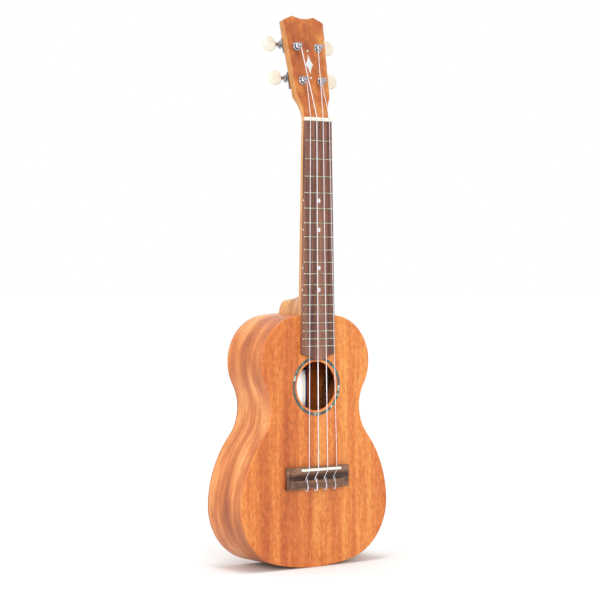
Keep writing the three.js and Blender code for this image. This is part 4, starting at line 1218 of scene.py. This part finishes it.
def turned(name, pairs, axis, count=32):
    """A turned shape from its radii and places along the post's axis or the worm's axis."""
    place = on_tuner(name)
    loops = []
    for radius, at in pairs:
        ring = []
        for i in range(count):
            across, up = radius * math.sin(math.tau * i / count), radius * math.cos(math.tau * i / count)
            if axis == "post":
                ring.append(place(across, at, up))
            else:
                ring.append(place(at, WORM_DEPTH + across, WORM_ABOVE + up))
        loops.append(ring)
    return loops


def gear_wheel(name, shape):
    """Adds the worm wheel, with teeth slanted to follow the worm's thread."""
    place = on_tuner(name)
    twist = LEAD / (math.tau * WORM_PITCH) / GEAR_PITCH
    tooth_form = ((TOOTH_ROOT, -0.85), (3.8, -0.6), (TOOTH_TIP, -0.3),
                  (TOOTH_TIP, 0.3), (3.8, 0.6), (TOOTH_ROOT, 0.85))
    loops = []
    for depth, shrinkage in ((-1.5, 0.25), (-1.25, 0), (1.25, 0), (1.5, 0.25)):
        ring = []
        for tooth in range(GEAR_TEETH):
            for radius, width in tooth_form:
                angle = math.tau * tooth / GEAR_TEETH + width / 2 / radius + twist * depth
                reach = radius - shrinkage
                ring.append(place(reach * math.sin(angle), WORM_DEPTH + depth, reach * math.cos(angle)))
        loops.append(ring)
    shape.sleeve(loops).lid(loops[0]).lid(loops[-1])


def make_post(name):
    """The post, with the hole that the string goes through, and its wheel on the other end."""
    place = on_tuner(name)
    pairs = [(1.5, -8.3), (2.1, -8.22), (2.45, -7.95), (2.6, -7.5), (2.6, -6.6), (2.45, -6.2),
             (POST_WAIST, -5.7), (POST_WAIST, -3.5), (2.4, -2.8), (2.8, -2.4), (2.8, 11.5), (2.8, 11.52)]
    loops = turned(name, pairs, "post")
    stem = solid_loft(loops)
    hole = [[place(end, STRING_AT_POST + STRING_HOLE * math.sin(a), STRING_HOLE * math.cos(a))
             for a in (math.tau * i / 16 for i in range(16))] for end in (-4, 4)]
    combine(stem, "DIFFERENCE", solid_loft(hole))
    stem.data.materials.clear()
    drilled = finished(f"post_stem_{name}", stem.data.copy(), chrome.material)
    bpy.data.objects.remove(stem)
    fit(drilled, f"post_{name}", "chrome", f"tuner_{name}_post")
    wheel = Shape()
    gear_wheel(name, wheel)
    boss_pairs = [(2.9, 11.5), (2.9, 13.5), (2.9, 16.5), (2.4, 16.9), (2.1, 17.1), (1.9, 17.2)]
    boss = turned(name, boss_pairs, "post")
    wheel.sleeve(boss).lid(boss[0]).lid(boss[-1])
    fit(wheel.made(f"wheel_{name}", brass.material), f"post_{name}", "chrome")


def make_bushing(name):
    """The round ferrule that guides the post at the headstock's face."""
    pairs = [(3.1, 6), (3.1, -1.1), (3.25, -1.35), (3.6, -1.4), (4.2, -1.38), (4.65, -1.2), (4.92, -0.8),
             (5.0, -0.4), (5.0, -0.02), (4.1, -0.02), (4.1, 6), (3.1, 6)]
    ferrule = Shape().sleeve(turned(name, pairs, "post", 40)).made(f"ferrule_{name}", chrome.material)
    fit(ferrule, "instrument", "chrome", f"tuner_{name}_bushing")


def make_worm(name):
    """The worm's shaft, with its collar and a screw thread between the two ears."""
    side = math.copysign(1, POST_PLACES[name][0])
    place = on_tuner(name)
    pairs = [(1.2, -8.0), (1.5, -7.85), (1.6, -7.6), (1.6, -5.6), (1.66, -5.5), (1.66, 9.7), (1.6, 9.8),
             (1.6, 11.7), (2.2, 11.72), (2.45, 11.9), (2.5, 12.2), (2.5, 13.6), (2.15, 13.9),
             (2.15, 17.3), (2.5, 17.6), (2.5, 18.2), (2.35, 18.38), (1.5, 18.4), (1.5, 26.4), (1.2, 26.5)]
    loops = turned(name, pairs, "worm")
    shaft = Shape().sleeve(loops).lid(loops[0]).lid(loops[-1])
    steps = THREAD_TURNS * THREAD_STEPS
    thread = []
    for i in range(steps + 1):
        angle = math.tau * i / THREAD_STEPS
        crest = THREAD_ROOT + THREAD_HEIGHT * min(1, i / 6, (steps - i) / 6)
        middle = side * LEAD * (i / THREAD_STEPS - THREAD_TURNS / 2)
        thread.append([
            place(middle + offset, WORM_DEPTH + reach * math.sin(angle), WORM_ABOVE - reach * math.cos(angle))
            for offset, reach in ((-0.45, THREAD_ROOT), (-0.2, crest), (0.2, crest), (0.45, THREAD_ROOT))
        ])
    shaft.sleeve(thread).lid(thread[0]).lid(thread[-1])
    worm = shaft.made(f"worm_{name}", chrome.material)
    fit(worm, f"knob_{name}", "chrome", f"tuner_{name}_worm_shaft")


def make_button(name):
    """An oval paddle, waisted where it meets the shaft and a little hollow on its faces."""
    place = on_tuner(name)
    loops = []
    for share in (0.0, 0.012, 0.035, 0.07, 0.12, 0.2, 0.3, 0.4, 0.5, 0.6, 0.7, 0.79, 0.86, 0.91, 0.95, 0.975,
                  0.992, 1.0):
        from_middle = (share - BUTTON_WIDEST) / BUTTON_SPAN
        height = BUTTON_HALF_HEIGHT * math.sqrt(1 - from_middle ** 2)
        thick = BUTTON_HALF_THICKNESS * math.sqrt(1 - abs(from_middle) ** 7)
        ring = []
        for i in range(48):
            angle = math.tau * i / 48
            flat, tall = (math.copysign(abs(part) ** BUTTON_SQUARENESS, part)
                          for part in (math.cos(angle), math.sin(angle)))
            outwards = BUTTON_START + share * BUTTON_LENGTH
            ring.append(place(outwards, WORM_DEPTH + thick * flat, WORM_ABOVE + height * tall))
        loops.append(ring)
    paddle = Shape().sleeve(loops).lid(loops[0]).lid(loops[-1]).made(f"paddle_{name}", ivory.material)
    fit(paddle, f"knob_{name}", "ivory", f"tuner_{name}_button")


screw_places = []
facing = Matrix.Rotation(math.pi, 3, "X") @ Matrix.Rotation(HEAD_TILT, 3, "X")
for tuner in "gcea":
    make_post(tuner)
    make_bushing(tuner)
    make_worm(tuner)
    make_button(tuner)
    plate = refined(f"pressed_plate_{tuner}", f"tuner_{tuner}_plate", chrome.material, 0.25)
    fit(plate, "instrument", "chrome", f"tuner_{tuner}_plate")
    for above, spin in PLATE_SCREWS:
        seat = on_tuner(tuner)(-6, SCREW_SEAT, above)
        screw_places.append((seat, facing @ Matrix.Rotation(spin, 3, "Y"), (1, 1, 1)))


def screw_unit():
    """A small domed screw head with a slot across it."""
    slot_depth, slot_half_width, count = 0.34, 0.2, 32
    loops = []
    for radius, y in ((0.0, -0.75), (0.5, -0.74), (1.0, -0.62), (1.5, -0.36), (1.75, -0.08), (1.75, 0.02),
                      (1.0, 0.02), (1.0, 3.0), (0.0, 3.0)):
        ring = []
        for i in range(count):
            x, z = radius * math.sin(math.tau * i / count), radius * math.cos(math.tau * i / count)
            in_slot = y < -0.2 and abs(x) < slot_half_width
            ring.append((x, y + slot_depth * in_slot, z))
        loops.append(ring)
    return unit_of("screw", loops, lids=())


screws = scattered("plate_screws", screw_unit(), screw_places, chrome.material, unevenness=0.03, seed=4)
fit(screws, "instrument", "chrome")


# ---------------------------------------------------------------- studio
# The ukulele stands upright on a pale floor in a white room. A soft light stands to its front and
# left, and a tall narrow one to its left. The ceiling glows, and a snoot shines into the soundhole.

backdrop = Finish("pale_floor", specular_ior_level=0.0)
grit = backdrop.noise(backdrop.place(), 3, detail=3)
floor_tones = [(0.3, (0.74, 0.74, 0.74, 1)), (0.7, (0.77, 0.77, 0.77, 1))]
backdrop.paint("Base Color", backdrop.ramp(grit, floor_tones))
backdrop.paint("Roughness", 0.8 + grit * 0.1)

FLOOR_REACH = 30
floor_mesh = bpy.data.meshes.new("floor")
floor_corners = [(x * FLOOR_REACH, y * FLOOR_REACH, 0) for x, y in ((-1, -1), (1, -1), (1, 1), (-1, 1))]
floor_mesh.from_pydata(floor_corners, [], [(0, 1, 2, 3)])
floor = bpy.data.objects.new("floor", floor_mesh)
bpy.context.scene.collection.objects.link(floor)
floor_mesh.materials.append(backdrop.material)
floor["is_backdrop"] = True

room = bpy.data.worlds.new("white_room")
room.use_nodes = True
room.node_tree.nodes["Background"].inputs["Color"].default_value = (1, 1, 1, 1)
room.node_tree.nodes["Background"].inputs["Strength"].default_value = 1.0
bpy.context.scene.world = room


def aim(lamp, place, target):
    """Sets up a lamp that shines on a point."""
    holder = bpy.data.objects.new(lamp.name, lamp)
    holder.location = place
    holder.rotation_euler = (Vector(target) - Vector(place)).to_track_quat("-Z", "Y").to_euler()
    bpy.context.scene.collection.objects.link(holder)


def softbox(name, place, target, width, height, power):
    """A soft rectangular light aimed at a point."""
    lamp = bpy.data.lights.new(name, "AREA")
    lamp.shape = "RECTANGLE"
    lamp.size = width
    lamp.size_y = height
    lamp.energy = power
    aim(lamp, place, target)


softbox("key", (-1.15, -1.95, 0.75), (0, 0, 0.3), 0.5, 0.5, 16)
softbox("side_strip", (-1.6, 0.1, 0.35), (0, 0, 0.25), 0.25, 1.0, 7)

snoot = bpy.data.lights.new("snoot", "SPOT")
snoot.energy = 150
snoot.spot_size = math.radians(1.45)
snoot.spot_blend = 0.3
snoot.shadow_soft_size = 0.01
aim(snoot, (-0.32, -2.1, 0.42), metres(0, 0, HOLE_Z))

ceiling = bpy.data.lights.new("ceiling", "SUN")
ceiling.energy = 1.2
ceiling.angle = math.radians(22)
overhead = bpy.data.objects.new("ceiling", ceiling)
overhead.rotation_euler = (math.radians(8), math.radians(-8), 0)
bpy.context.scene.collection.objects.link(overhead)

lens = bpy.data.cameras.new("camera")
lens.lens = 115.08
lens.sensor_width = 36
lens.shift_y = -0.036
camera = bpy.data.objects.new("camera", lens)
camera.location = (-1.2734, -1.6970, 0.3158)
camera.rotation_euler = (math.radians(90), 0, math.radians(-36.83))
bpy.context.scene.collection.objects.link(camera)
bpy.context.scene.camera = camera
bpy.context.scene.view_settings.view_transform = "Standard"


def plain(bounds):
    """Bounds as plain lists of numbers."""
    return json.loads(json.dumps(bounds, default=list))


{"cad": plain(cad_bounds), "visual": plain(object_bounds())}
